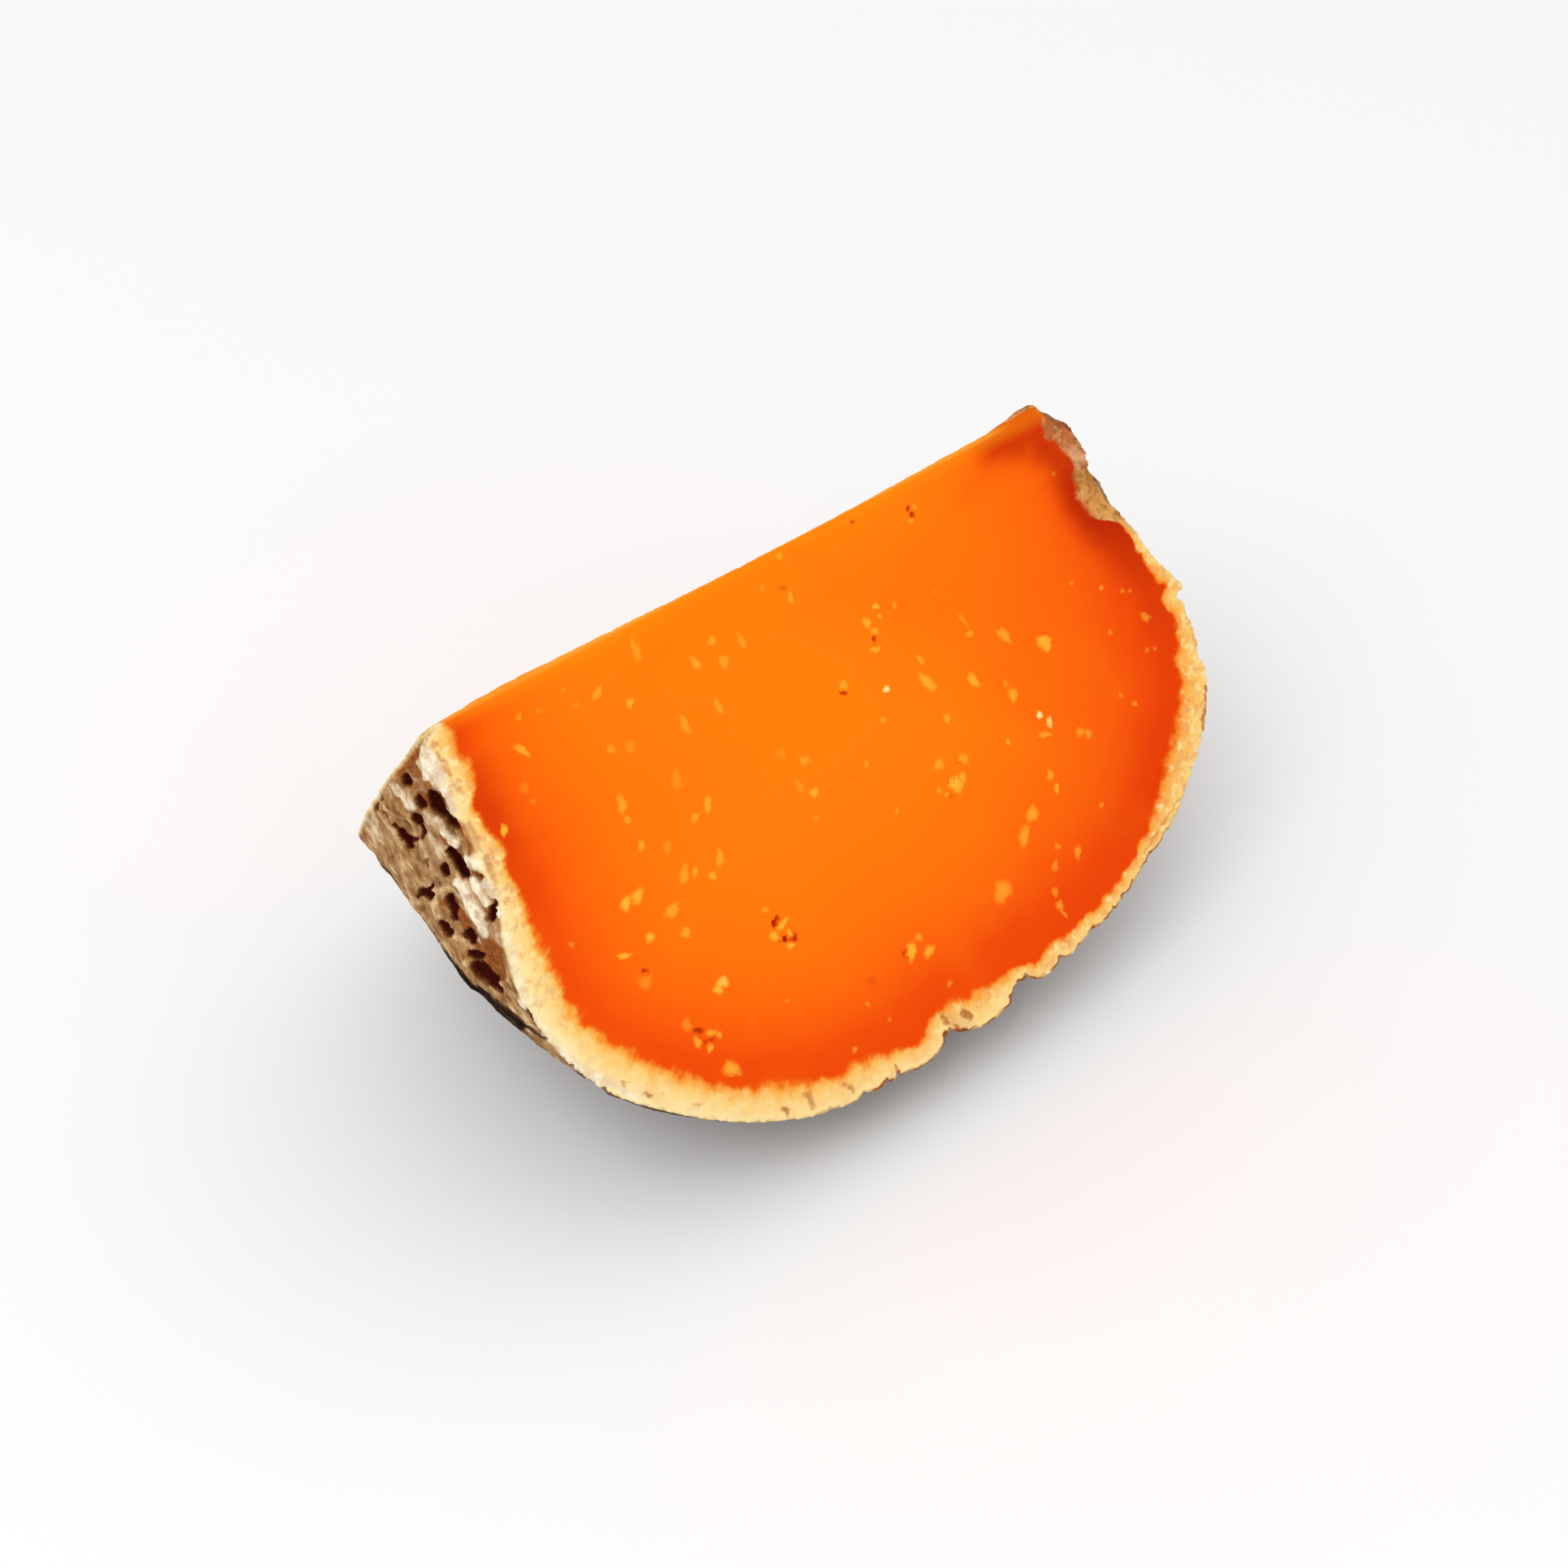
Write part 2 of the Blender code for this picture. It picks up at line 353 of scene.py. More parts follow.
# Swollen pale bits between the pits, in the same way: partly the crust's cream, partly a painted
# highlight on its ridges. Then brown stains.
PALE_BITS_AND_HIGHLIGHTS = (
    (524, 926, 541, 958, 10.5, 0.35, 1), (541, 958, 558, 997, 7, 0.35, 1),
    (518, 938, 526, 958, 5, 0.2, 0.7), (447, 1008, 466, 1032, 8, 0, 0.4),
    (549, 884, 520, 914, 3.5, 0, 0.6), (486, 970, 508, 993, 8, 0.3, 0.55),
    (543, 1008, 551, 1022, 9, 0.35, 0.5), (551, 1022, 560, 1038, 8.5, 0.35, 0.75),
    (524, 998, 530, 1014, 5, 0.15, 0.35), (530, 1030, 548, 1060, 6, 0.15, 0.35),
    (578, 1058, 588, 1066, 7, 0.5, 1), (566, 1090, 590, 1130, 9.5, 0.25, 0.75),
    (574, 1104, 582, 1118, 5, 0.1, 0.9), (588, 1126, 598, 1150, 7, 0.2, 0.55),
    (586, 1084, 600, 1112, 6, 0.5, 0.9), (598, 1086, 610, 1102, 6, 0.5, 1),
    (613, 1118, 616, 1128, 4, 0.2, 0.9), (530, 1110, 545, 1135, 4, 0.1, 0.35),
    (574, 1186, 598, 1218, 4, 0.15, 0.4), (622, 1150, 648, 1232, 7, 0.2, 0.5),
    (640, 1236, 700, 1306, 7, 0.1, 0.6), (700, 1306, 780, 1352, 6, 0, 0.7),
    (455, 1002, 470, 1030, 6, 0.1, 0.3), (518, 1040, 536, 1080, 5, 0.1, 0.2),
    (664, 1282, 735, 1334, 7, 0, 0.8),
)
# Brown stains. Some are painted shadow: the brown shade under the left end's top corner, and the thin
# dark lines along the lower and right outline of the front cut.
STAINS_AND_SHADOWS = (
    (512, 928, 490, 950, 8, 0.1, 0.9), (506, 944, 513, 954, 6, 0.1, 0.8),
    (492, 953, 510, 968, 8, 0.1, 0.7), (519, 978, 524, 990, 6, 0.1, 0.9),
    (526, 968, 534, 984, 6, 0.1, 0.7), (526, 990, 537, 1002, 5, 0.1, 0.7),
    (482, 976, 494, 996, 3, 0.1, 0.6), (566, 1016, 577, 1040, 6.5, 0.4, 0.9),
    (574, 1036, 581, 1050, 5, 0.3, 1), (542, 1030, 556, 1046, 3.5, 0.2, 0.8),
    (584, 1076, 594, 1081, 2.8, 0.1, 0.9), (592, 1081, 608, 1100, 2.8, 0.1, 0.5),
    (545, 1112, 552, 1116, 4, 0.1, 0.7), (563, 1122, 582, 1152, 6.5, 0.35, 1),
    (602, 1168, 612, 1200, 11, 0.3, 1), (613, 1172, 618, 1204, 6, 0.3, 1),
    (588, 1166, 600, 1190, 5, 0.2, 0.7), (523, 1096, 530, 1106, 7, 0, 0.5),
    (505, 1020, 510, 1046, 3, 0, 0.4), (560, 1160, 572, 1178, 4, 0, 0.3),
    (1160, 1250, 1166, 1262, 4, 0.1, 0.8), (1185, 1246, 1196, 1252, 3.5, 0.3, 1),
    (1178, 1261, 1186, 1265, 3.5, 0.3, 1), (1170, 1256, 1190, 1256, 8, 0.1, 0.35),
    (1040, 1336, 1050, 1340, 3.6, 0.2, 0.8), (1034, 1330, 1034, 1342, 2, 0.1, 0.4),
    (992, 1348, 1000, 1357, 3.6, 0.2, 0.7), (998, 1346, 1002, 1362, 2.4, 0.2, 0.6),
    (966, 1366, 972, 1367, 4, 0.2, 0.9), (796, 1350, 803, 1353, 4.2, 0.1, 0.9),
    (766, 1333, 770, 1339, 3.4, 0.1, 0.7), (856, 1361, 861, 1363, 3.2, 0.1, 0.6),
    (815, 1346, 817, 1350, 2.6, 0.1, 0.4), (898, 1350, 901, 1353, 3, 0, 0.4),
    (1300, 528, 1322, 548, 7, 0.25, 0.9), (1330, 575, 1336, 592, 5, 0.3, 0.9),
    (1346, 606, 1356, 618, 4, 0.2, 0.5), (1286, 514, 1292, 522, 4, 0.1, 0.9),
    (540, 932, 545, 938, 4, 0.15, 0.7), (546, 946, 552, 954, 4.5, 0.1, 0.6),
    (533, 914, 537, 920, 4, 0.1, 0.5), (562, 968, 568, 976, 5, 0.1, 0.5),
    (578, 1018, 586, 1032, 6, 0.1, 0.6), (585, 1038, 590, 1048, 5, 0.1, 0.5),
    (598, 1058, 604, 1070, 6, 0.1, 0.6), (607, 1076, 612, 1094, 4, 0.1, 0.45),
    (1484, 846, 1486, 866, 2.6, 0, 0.9), (1485, 866, 1481, 900, 2.2, 0, 0.9),
    (1110, 1325, 1146, 1308, 2.6, 0, 0.8), (1270, 1206, 1290, 1204, 3, 0, 0.9),
    (1200, 1268, 1232, 1254, 2.4, 0, 0.7), (1104, 1312, 1105, 1320, 2.4, 0, 0.7),
    (1465, 752, 1476, 800, 2, 0, 0.4), (1410, 1052, 1450, 985, 2, 0, 0.5),
)
# How the strokes' outlines wander: size of the lumps, strength in pixels, and seed of the noise.
STROKE_WARPS = ((1.2 * MM, 2.6, 3.1), (0.48 * MM, 1.7, 21.7))

# Small breaks of the front cut's rim, in the photograph's pixels: place, depth inwards, and half
# width on each side of it, going round from the left. A negative depth stands out.
NICKS = (
    (1065, 1343, 6, 4, 14), (1094, 1332, 6, 3, 12), (1106, 1318, 9, 3, 5), (1172, 1270, 6, 14, 8),
    (1263, 1199, 7, 9, 7), (1306, 1181, 5, 8, 5), (1455, 724, -10, 12, 5), (1336, 566, 4, 6, 5),
    (1348, 600, 4, 8, 4), (1483, 824, -4, 20, 4), (1384, 1103, 2, 8, 3), (1345, 1150, 3, 12, 5),
    (1230, 1250, -2, 8, 6), (1311, 526, -3, 10, 10), (1460, 976, 2, 14, 5), (1416, 1062, -2, 9, 5),
)
# How much further out the rim stands than the solid's: degrees round it, and pixels.
RIM_SHIFT = (
    (45, 0), (46.5, -1.5), (51, -3), (56, -2.5), (60, -0.8), (62, 0.8), (65, 2), (68, 4), (70, 5.5),
    (72, 3.5), (74, 3.8), (75.5, 7.5), (76.3, 8), (77, 3), (78, 5), (80, 5), (81, 8), (82.5, 4.2),
    (84, 2.2), (86, 2), (87, 4.5), (88, -1), (89, 6), (90, 8.5), (91.5, 3), (93, 3.2), (95, 2),
    (97, 3.7), (99, 1.8), (100, 7), (101, 8), (102.5, 1.8), (105, 2.2), (107, 1.2), (109, -1.6),
    (111, 1), (113, 2), (116, 1.2), (118, 0.5), (120.5, -3), (122.5, 0), (126, 1.8), (129, 1.6),
    (131, -0.5), (135, 0), (137, 1.2), (142, 1.6), (143, -3.7), (144, -5.2), (145.5, -2.5),
    (148, -1.8), (149.5, 0.5), (150, -3), (151, 4.5), (152, 12), (153.3, 8), (154.5, 3.5), (156, 3),
    (158, 4.8), (160, 3), (162, 4.8), (163.5, 11), (165, 14.5), (166, 11.5), (168, 4.5),
    (169.5, 6.5), (171, 9), (172, 11.7), (174, 15.5), (175, 13.2), (176, 8), (177, 0), (178, -2),
    (179, -2.5), (180, 0),
)
# How much higher the straight edge stands than the solid's: millimetres along it, and upwards.
EDGE_LIFT = (
    (-66, 0), (-61, 0.5), (-54, 0.7), (-48, 0.5), (-39, 0.27), (-30, 0.1), (-24, -0.1), (-12, -0.36),
    (3, -0.5), (15, -0.36), (24, -0.12), (33, 0.2), (42, 0.36), (45, 0.6), (48, 1.1), (51, 2),
    (54, 2.1), (57, 0.5), (60, 0),
)
# How far the changes of the edge and rim reach, and where the faces are made finer for marks.
EDGE_REACH = 10 * MM
NICK_RUN = 6 * MM
NICK_FADE = 3.2 * MM
NICK_CURVE = 1.2
NICK_SIGHT = 60
LEAST_PIXELS = 4
FINE_RIM = 3.0 * MM
FINE_RIM_START = 78
GLANCING = 0.05
LEFT_END = -38 * MM
LEFT_END_DEPTH = 45 * MM

# How thick the pale band under the crust is: degrees round the rim, and millimetres.
BAND = (
    (0, 2.6), (3.5, 4.2), (5.5, 5.1), (7, 6), (9, 4.6), (12, 3.3), (16, 3.6), (19, 4.3),
    (24.5, 3.6), (27, 4.3), (30, 5.2), (34, 6.3), (37, 5.8), (43, 6.3), (49, 6.2), (53, 5.5),
    (59, 5), (63, 5.3), (68, 5.8), (72, 4.9), (74.5, 5.3), (78, 4.8), (81, 3.4), (84, 3.9),
    (87, 3.4), (90, 4.5), (93.5, 6.1), (96, 4.5), (98, 2.8), (101, 1.6), (103.5, 3.2), (107, 2.8),
    (113, 2.7), (117, 2.4), (120, 2.3), (123.5, 3.6), (127.5, 4.6), (131, 5.3), (137, 6),
    (141.5, 5), (145, 3.8), (147.5, 2.5), (151, 2.6), (153, 2.2), (156, 1.4), (159.5, 1),
    (160.3, 3.8), (163, 4), (166, 3.6), (169, 2.4), (171, 3.1), (175, 2.9), (177.5, 1.6),
    (179, 0.4), (180, 0.1),
)


def from_table(values, table):
    """What a table of pairs gives for each value, by straight lines between its pairs."""
    return np.interp(values, [pair[0] for pair in table], [pair[1] for pair in table])


def fading(reach, outer, run):
    """1 where reach is small, falling to 0 over a run that ends at an outer reach."""
    return smooth_step((outer - reach) / run)


def stroke_reach(seen, solid, strokes, scale=1.0):
    """For each stroke, how many half widths each seen point lies from its wandering line."""
    warped = seen.copy()
    for size, strength, seed in STROKE_WARPS:
        warped[:, 0] += scale * strength * grain(solid, size, seed)
        warped[:, 1] += scale * strength * grain(solid, size, seed + 5.3)
    for x1, y1, x2, y2, half_width, deep_mm, dark in strokes:
        start, run = np.array((x1, y1)), np.array((x2 - x1, y2 - y1))
        share = np.clip((warped - start) @ run / (run @ run), 0, 1)
        off = np.linalg.norm(warped - start - share[:, None] * run, axis=1)
        yield off / half_width, deep_mm * MM, dark


def split_finely(piece, chosen):
    """Cuts in four the faces whose corners are all chosen."""
    bpy.ops.object.mode_set(mode="EDIT")
    bpy.ops.mesh.select_mode(type="VERT")
    bpy.ops.mesh.select_all(action="DESELECT")
    bpy.ops.object.mode_set(mode="OBJECT")
    piece.data.vertices.foreach_set("select", chosen)
    bpy.ops.object.mode_set(mode="EDIT")
    bpy.ops.mesh.select_mode(type="FACE")
    bpy.ops.mesh.subdivide(number_cuts=1)
    bpy.ops.mesh.quads_convert_to_tris()
    bpy.ops.object.mode_set(mode="OBJECT")


def surfaces(points):
    """Which points are on the front cut, on the back cut, and how far each lies from them."""
    in_front, in_back = from_cuts(points)
    on_front = np.abs(in_front) < TOUCH
    on_back = np.abs(in_back) < TOUCH
    return on_front, on_back, in_front, in_back


points = places(wedge.data)
on_front, on_back, in_front, in_back = surfaces(points)
facing = outward(wedge.data) @ np.array(back) > GLANCING
left_end = ~on_front & ~on_back & facing & (points[:, 0] < LEFT_END) & (in_front < LEFT_END_DEPTH)
split_finely(wedge, left_end)

points = places(wedge.data)
on_front, on_back, in_front, in_back = surfaces(points)
depth = depth_under_crust(points, on_front, on_back, edges(wedge.data))
near_rim = (on_front & (depth < FINE_RIM)) | (~on_front & ~on_back & (in_front < FINE_RIM))
split_finely(wedge, near_rim & (turn(points) > FINE_RIM_START))
for margin in SPLIT_MARGINS:
    points = places(wedge.data)
    split_finely(wedge, near_eyes(pixels(points), margin) & surfaces(points)[0])

# The left end's tip stands out further than the solid's: place, move and reach in millimetres.
TIP_MOVES = (
    ((-67.3, 24.6, 49.7), (-1.3, 0.97, -1.54), 6.5),
    ((-70.0, 19.5, 57.5), (-0.17, 0.46, 0.27), 5.5),
)
# Broad changes of the left end's outline, as strokes with a height in millimetres.
OUTLINE_STROKES = (
    (480, 1072, 500, 1104, 20, 0.6, 0), (600, 1240, 725, 1335, 24, -0.9, 0),
    (522, 902, 492, 938, 13, -0.55, 0), (452, 1046, 462, 1058, 12, -0.2, 0),
    (513, 1124, 524, 1140, 12, 0.25, 0), (650, 1276, 670, 1294, 10, -0.3, 0),
)
# Lumps of the crust and clouds of its colour, as layers of noise: size, strength and seed.
FINE_LUMPS = ((0.9 * MM, 0.10 * MM, 5.0),)
BROAD_LUMPS = ((3.6 * MM, 0.28 * MM, 11.0),)
CLOUDS = ((7 * MM, 1.0, 15.0), (2.4 * MM, 0.5, 19.0))
LUMP_EASE = 1.5 * MM
FRONT_EASE = (2.5 * MM, 2 * MM)
# How marks fade from a stroke's line, in its half widths: outer reach, and run of the fade.
PIT_HOLLOW = (1.3, 0.8)
PIT_SHADE = (1.8, 1.4)
PIT_FLOOR = 0.3
STRIP_SHADE = (1.5, 0.9)
FURTHER_SHADE = (1.7, 1.1)
SWELL_FADE = (1.3, 0.9)
STAIN_AND_SHADOW_FADE = (1.4, 0.9)
# Painted shade of the under side: the crust is painted darker where it slopes down, and where it
# turns away from the eye. Each pair is where a share of it starts, and the run over which it grows.
SLOPE_DARK = 0.85
SLOPE_START = -0.16
SLOPE_RUN = 0.6
SLOPING = (-0.1, 0.3)
LEFTWARD = (-15 * MM, 25 * MM)
TURN_START = 0.06
TURN_RUN = 0.18
GRAZING = (0.5, 0.2)
STRIP_DARK = 1.2
FURTHER_DARK = 1.1
# Which crust the marks may touch: its turn towards the eye, its place, and its depth on the cut.
SHOWN_TURN = -0.15
SHOWN_X = -30 * MM
BROAD_X = -20 * MM
BAND_DEPTH = 9 * MM

# The relief. Crust corners move along the crust's own outward direction, and the rim's nicks move
# in the plane of the cut.
mesh = wedge.data
points = places(mesh)
on_front, on_back, in_front, in_back = surfaces(points)
for place, move, reach in TIP_MOVES:
    tip_gap = np.linalg.norm(points / MM - np.array(place), axis=1) / reach
    points += np.exp(-tip_gap ** 2)[:, None] * np.array(move) * MM
put(mesh, points)
normals = outward(mesh)
seen = pixels(points)
crust = ~on_front & ~on_back
angle = turn(points)
depth = depth_under_crust(points, on_front, on_back, edges(mesh))
to_eye = normals @ np.array(back)
facing = to_eye > 0
in_cut = normals - np.outer(normals @ FRONT_OUT, FRONT_OUT)
in_cut /= np.maximum(np.linalg.norm(in_cut, axis=1), 1e-9)[:, None]
near_front = fading(in_front, *FRONT_EASE)[:, None]
push = normals * (1 - near_front) + in_cut * near_front

crust_rows = np.flatnonzero(crust)
rim_ease = smooth_step(np.minimum(in_front, in_back) / LUMP_EASE)[crust_rows]
lift = np.zeros(len(points))
lift[crust_rows] += layered(points[crust_rows], FINE_LUMPS)
lift[crust_rows] += layered(points[crust_rows], BROAD_LUMPS) * rim_ease
pit_shading = np.zeros(len(points))
pale_and_highlight = np.zeros(len(points))
stain_and_shade = np.zeros(len(points))
cloud = np.zeros(len(points))
cloud[crust_rows] = layered(points[crust_rows], CLOUDS)
# Painted shade: darker where the crust turns away from the eye, and where it slopes down.
turned_away_shade = fading(to_eye, TURN_START + 0.16 * cloud, TURN_RUN)
turned_away_shade *= fading(normals[:, 2], *SLOPING) * fading(points[:, 0], *LEFTWARD)
turned_away_shade *= 0.8 + 0.32 * smooth_step((to_eye + 0.1 * cloud + 0.6) / 0.4)
underside_shade = SLOPE_DARK * fading(normals[:, 2], SLOPE_START + 0.25 * cloud, SLOPE_RUN)
underside_shade = np.maximum(underside_shade, turned_away_shade)

shown = np.flatnonzero(crust & (to_eye > SHOWN_TURN) & (points[:, 0] < SHOWN_X))
for reach, deep, dark in stroke_reach(seen[shown], points[shown], PITS):
    hollow = fading(reach, *PIT_HOLLOW)
    sunk = np.where(hollow > 0, lift[shown] * PIT_FLOOR - deep * hollow, lift[shown])
    lift[shown] = np.minimum(lift[shown], sunk)
    pit_shading[shown] = np.maximum(pit_shading[shown], dark * fading(reach, *PIT_SHADE))
# A painted shadow strip along the left end's outline, and painted shade further in under it.
grazing = fading(to_eye[shown], *GRAZING)
for reach, _, dark in stroke_reach(seen[shown], points[shown], UNDERSIDE_SHADOW_LINE):
    outline_shadow = STRIP_DARK * dark * fading(reach, *STRIP_SHADE) * grazing
    underside_shade[shown] = np.maximum(underside_shade[shown], outline_shadow)
for step in UNDERSIDE_SHADOW_STEPS:
    for reach, _, _ in stroke_reach(seen[shown] - step * UNDERSIDE_SHADOW_WAY, points[shown], UNDERSIDE_SHADOW_LINE[:-1]):
        further_shadow = (FURTHER_DARK + 0.2 * cloud[shown]) * fading(reach, *FURTHER_SHADE) * grazing
        underside_shade[shown] = np.maximum(underside_shade[shown], further_shadow)
turned_to_eye = smooth_step((to_eye + 0.6) / 0.6)
broad = np.flatnonzero(crust & (turned_to_eye > 0) & (points[:, 0] < BROAD_X))
for reach, high, _ in stroke_reach(seen[broad], points[broad], OUTLINE_STROKES):
    lift[broad] += high * smooth_step(1.5 - reach) * turned_to_eye[broad]
marked = np.flatnonzero((crust & facing) | (on_front & (depth < BAND_DEPTH)))
in_sight = np.where(crust[marked], smooth_step((to_eye[marked] + 0.02) / 0.1), 1)
in_light = np.where(crust[marked], 1 - smooth_step(underside_shade[marked] / 0.4), 1)
for reach, high, light in stroke_reach(seen[marked], points[marked], PALE_BITS_AND_HIGHLIGHTS):
    swell = fading(reach, *SWELL_FADE) * (1 - np.minimum(pit_shading[marked] * 2, 1)) * in_sight * in_light
    lift[marked] += np.where(crust[marked], high * swell, 0)
    pale_and_highlight[marked] = np.maximum(pale_and_highlight[marked], light * swell)
for reach, deep, dark in stroke_reach(seen[marked], points[marked], STAINS_AND_SHADOWS):
    spread = fading(reach, *STAIN_AND_SHADOW_FADE) * in_sight
    lift[marked] -= np.where(crust[marked], deep * spread, 0)
    stain_and_shade[marked] = np.maximum(stain_and_shade[marked], dark * spread)

# Scattered pits over the rest of the crust, where the photograph shows none by name, with
# painted shade in their hollows as for the named pits.
SCATTER_SEED = 41
SCATTERED_PITS = 430
SCATTER_CLUSTERS = (13 * MM, 33.0)
SCATTER_HOLLOW = (1.25, 0.6)
SCATTER_SHADE = (1.4, 1.0)
SCATTER_GAPS = (4 * MM, 1.5 * MM, 0.6 * MM)
NAMED_PITS_X = -45 * MM
draw = np.random.default_rng(SCATTER_SEED)
unseen = crust & ~(facing & (points[:, 0] < NAMED_PITS_X))
for room, gap in zip((in_front, in_back, points[:, 2]), SCATTER_GAPS):
    unseen &= room > gap
unseen_rows = np.flatnonzero(unseen)
crust_tree = search_tree(points, unseen_rows)
odds = 0.12 + smooth_step((grain(points[unseen_rows], *SCATTER_CLUSTERS) + 0.2) / 0.45)
odds /= odds.sum()
for centre_row in draw.choice(unseen_rows, SCATTERED_PITS, replace=False, p=odds):
    centre = Vector(points[centre_row])
    radius = MM * (0.5 + 1.3 * draw.random() ** 2)
    stretch = 1 + 1.2 * draw.random()
    lean = draw.random() * math.tau
    along = Vector(normals[centre_row]).orthogonal().normalized()
    along.rotate(Matrix.Rotation(lean, 3, Vector(normals[centre_row])))
    deep_here = radius * (0.6 + 0.5 * draw.random())
    pit_shade_here = 0.45 + 0.45 * draw.random()
    for place, row, _ in crust_tree.find_range(centre, radius * stretch * SCATTER_SHADE[0]):
        offset = place - centre
        lengthwise = offset.dot(along) / stretch
        sideways = (offset - offset.dot(along) * along).length
        reach = math.hypot(lengthwise, sideways) / radius
        hollow = float(fading(reach, *SCATTER_HOLLOW))
        lift[row] = min(lift[row], lift[row] * (1 - hollow) - deep_here * hollow)
        pit_shading[row] = max(pit_shading[row], pit_shade_here * float(fading(reach, *SCATTER_SHADE)))
points += push * lift[:, None]

# Nicks of the rim, and its shift.
rim_rows = np.flatnonzero((on_front & (depth < NICK_FADE)) | (crust & (in_front < NICK_RUN)))
rim_seen = seen[rim_rows]
rim = rim_tree(points, on_front, edges(mesh))
rim_way = np.zeros((len(rim_rows), 3))
for number, row in enumerate(rim_rows):
    rim_way[number] = rim.find(points[row])[0] - Vector((EDGE_MIDDLE, EDGE_PLACE[1], EDGE_PLACE[2]))
rim_way -= np.outer(rim_way @ FRONT_OUT, FRONT_OUT)
rim_way /= np.linalg.norm(rim_way, axis=1)[:, None]
ease = np.where(
    on_front[rim_rows],
    1 - depth[rim_rows] / NICK_FADE,
    smooth_step(1.2 - in_front[rim_rows] / NICK_RUN),
)
metres_per_pixel = DISTANCE / focal_pixels
side_way = np.cross(rim_way, FRONT_OUT)
tip = pixels(points[rim_rows] + side_way * MM) - pixels(points[rim_rows])
tip /= np.linalg.norm(tip, axis=1)[:, None]
for x, y, deep_px, before, after in NICKS:
    offset = rim_seen - np.array((x, y))
    along = (offset * tip).sum(1)
    gap = np.abs(offset[:, 0] * tip[:, 1] - offset[:, 1] * tip[:, 0])
    share = np.where(along < 0, 1 + along / before, 1 - along / after)
    cut = np.clip(share, 0, 1) ** NICK_CURVE * (gap < NICK_SIGHT) * (np.abs(along) < NICK_SIGHT)
    points[rim_rows] -= rim_way * (cut * ease * deep_px * metres_per_pixel)[:, None]
one_out = pixels(points[rim_rows] + rim_way * MM) - pixels(points[rim_rows])
pixels_per_mm = np.maximum(np.linalg.norm(one_out, axis=1), LEAST_PIXELS)
rim_shift = from_table(angle[rim_rows], RIM_SHIFT)
points[rim_rows] += rim_way * (np.clip(ease, 0, 1) * rim_shift / pixels_per_mm * MM)[:, None]

# Crumbs along the straight edge, the faint wave that a knife leaves in the cuts, and the rough
# band, as layers of noise.
KNIFE_WAVE = ((26 * MM, 0.12 * MM, 2.0),)
BAND_ROUGHNESS = ((1.1 * MM, 0.09 * MM, 7.0),)
CRUMBS = ((2.4 * MM, 1.0, 4.0), (0.9 * MM, 0.6, 6.0))
CRUMB_DEPTH = 0.25 * MM
CRUMB_RUN = 2.2 * MM
WAVE_FROM_EDGE = 8 * MM
BAND_RUN = 6 * MM
cut_rows = np.flatnonzero(on_front | on_back)
edge_gap = from_edge(points)[cut_rows]
wave = layered(points[cut_rows], KNIFE_WAVE) * smooth_step(edge_gap / WAVE_FROM_EDGE)
wave *= smooth_step(depth[cut_rows] / BAND_RUN)
out_of_cut = np.where(on_front[cut_rows, None], FRONT_OUT, BACK_OUT)
points[cut_rows] += out_of_cut * wave[:, None]
band_rough = layered(points[cut_rows], BAND_ROUGHNESS) * smooth_step(1.3 - depth[cut_rows] / BAND_RUN)
points[cut_rows] += out_of_cut * band_rough[:, None]
along_edge = np.c_[points[cut_rows, 0], np.zeros((len(cut_rows), 2))]
crumb = np.clip(layered(along_edge, CRUMBS), -0.2, 1)
points[cut_rows, 2] -= CRUMB_DEPTH * crumb * smooth_step(1 - edge_gap / CRUMB_RUN)
edge_lift = from_table(points[:, 0] / MM, EDGE_LIFT)
points[:, 2] += edge_lift * MM * smooth_step(1 - from_edge(points) / EDGE_REACH)

# Eyes: dents, and painted shade for their dark red. Each is a tiny stroke that is seen squeezed
# to a round of half width 1.
EYE_HOLLOW = (1.3, 0.9)
EYE_SHADE = (1.7, 1.4)
EYE_WARP = 0.2
EYE_STROKE = 0.01
eye_shade = np.zeros(len(points))
front_rows = np.flatnonzero(on_front)
front_rows = front_rows[near_eyes(seen[front_rows], DENTED_MARGIN)]
for x, y, half_width, half_height, deep_mm, dark in EYES:
    stroke = ((x - EYE_STROKE, y, x + EYE_STROKE, y, 1.0, deep_mm, dark),)
    middle_seen = np.array((x, y))
    squeezed = middle_seen + (seen[front_rows] - middle_seen) / np.array((half_width, half_height))
    for off, deep, darkness in stroke_reach(squeezed, points[front_rows], stroke, EYE_WARP):
        points[front_rows] -= np.outer(deep * fading(off, *EYE_HOLLOW), FRONT_OUT)
        shade_here = darkness * fading(off, *EYE_SHADE)
        eye_shade[front_rows] = np.maximum(eye_shade[front_rows], shade_here)
points[:, 2] = np.maximum(points[:, 2], 0.0)
put(mesh, points)
mesh.shade_smooth()

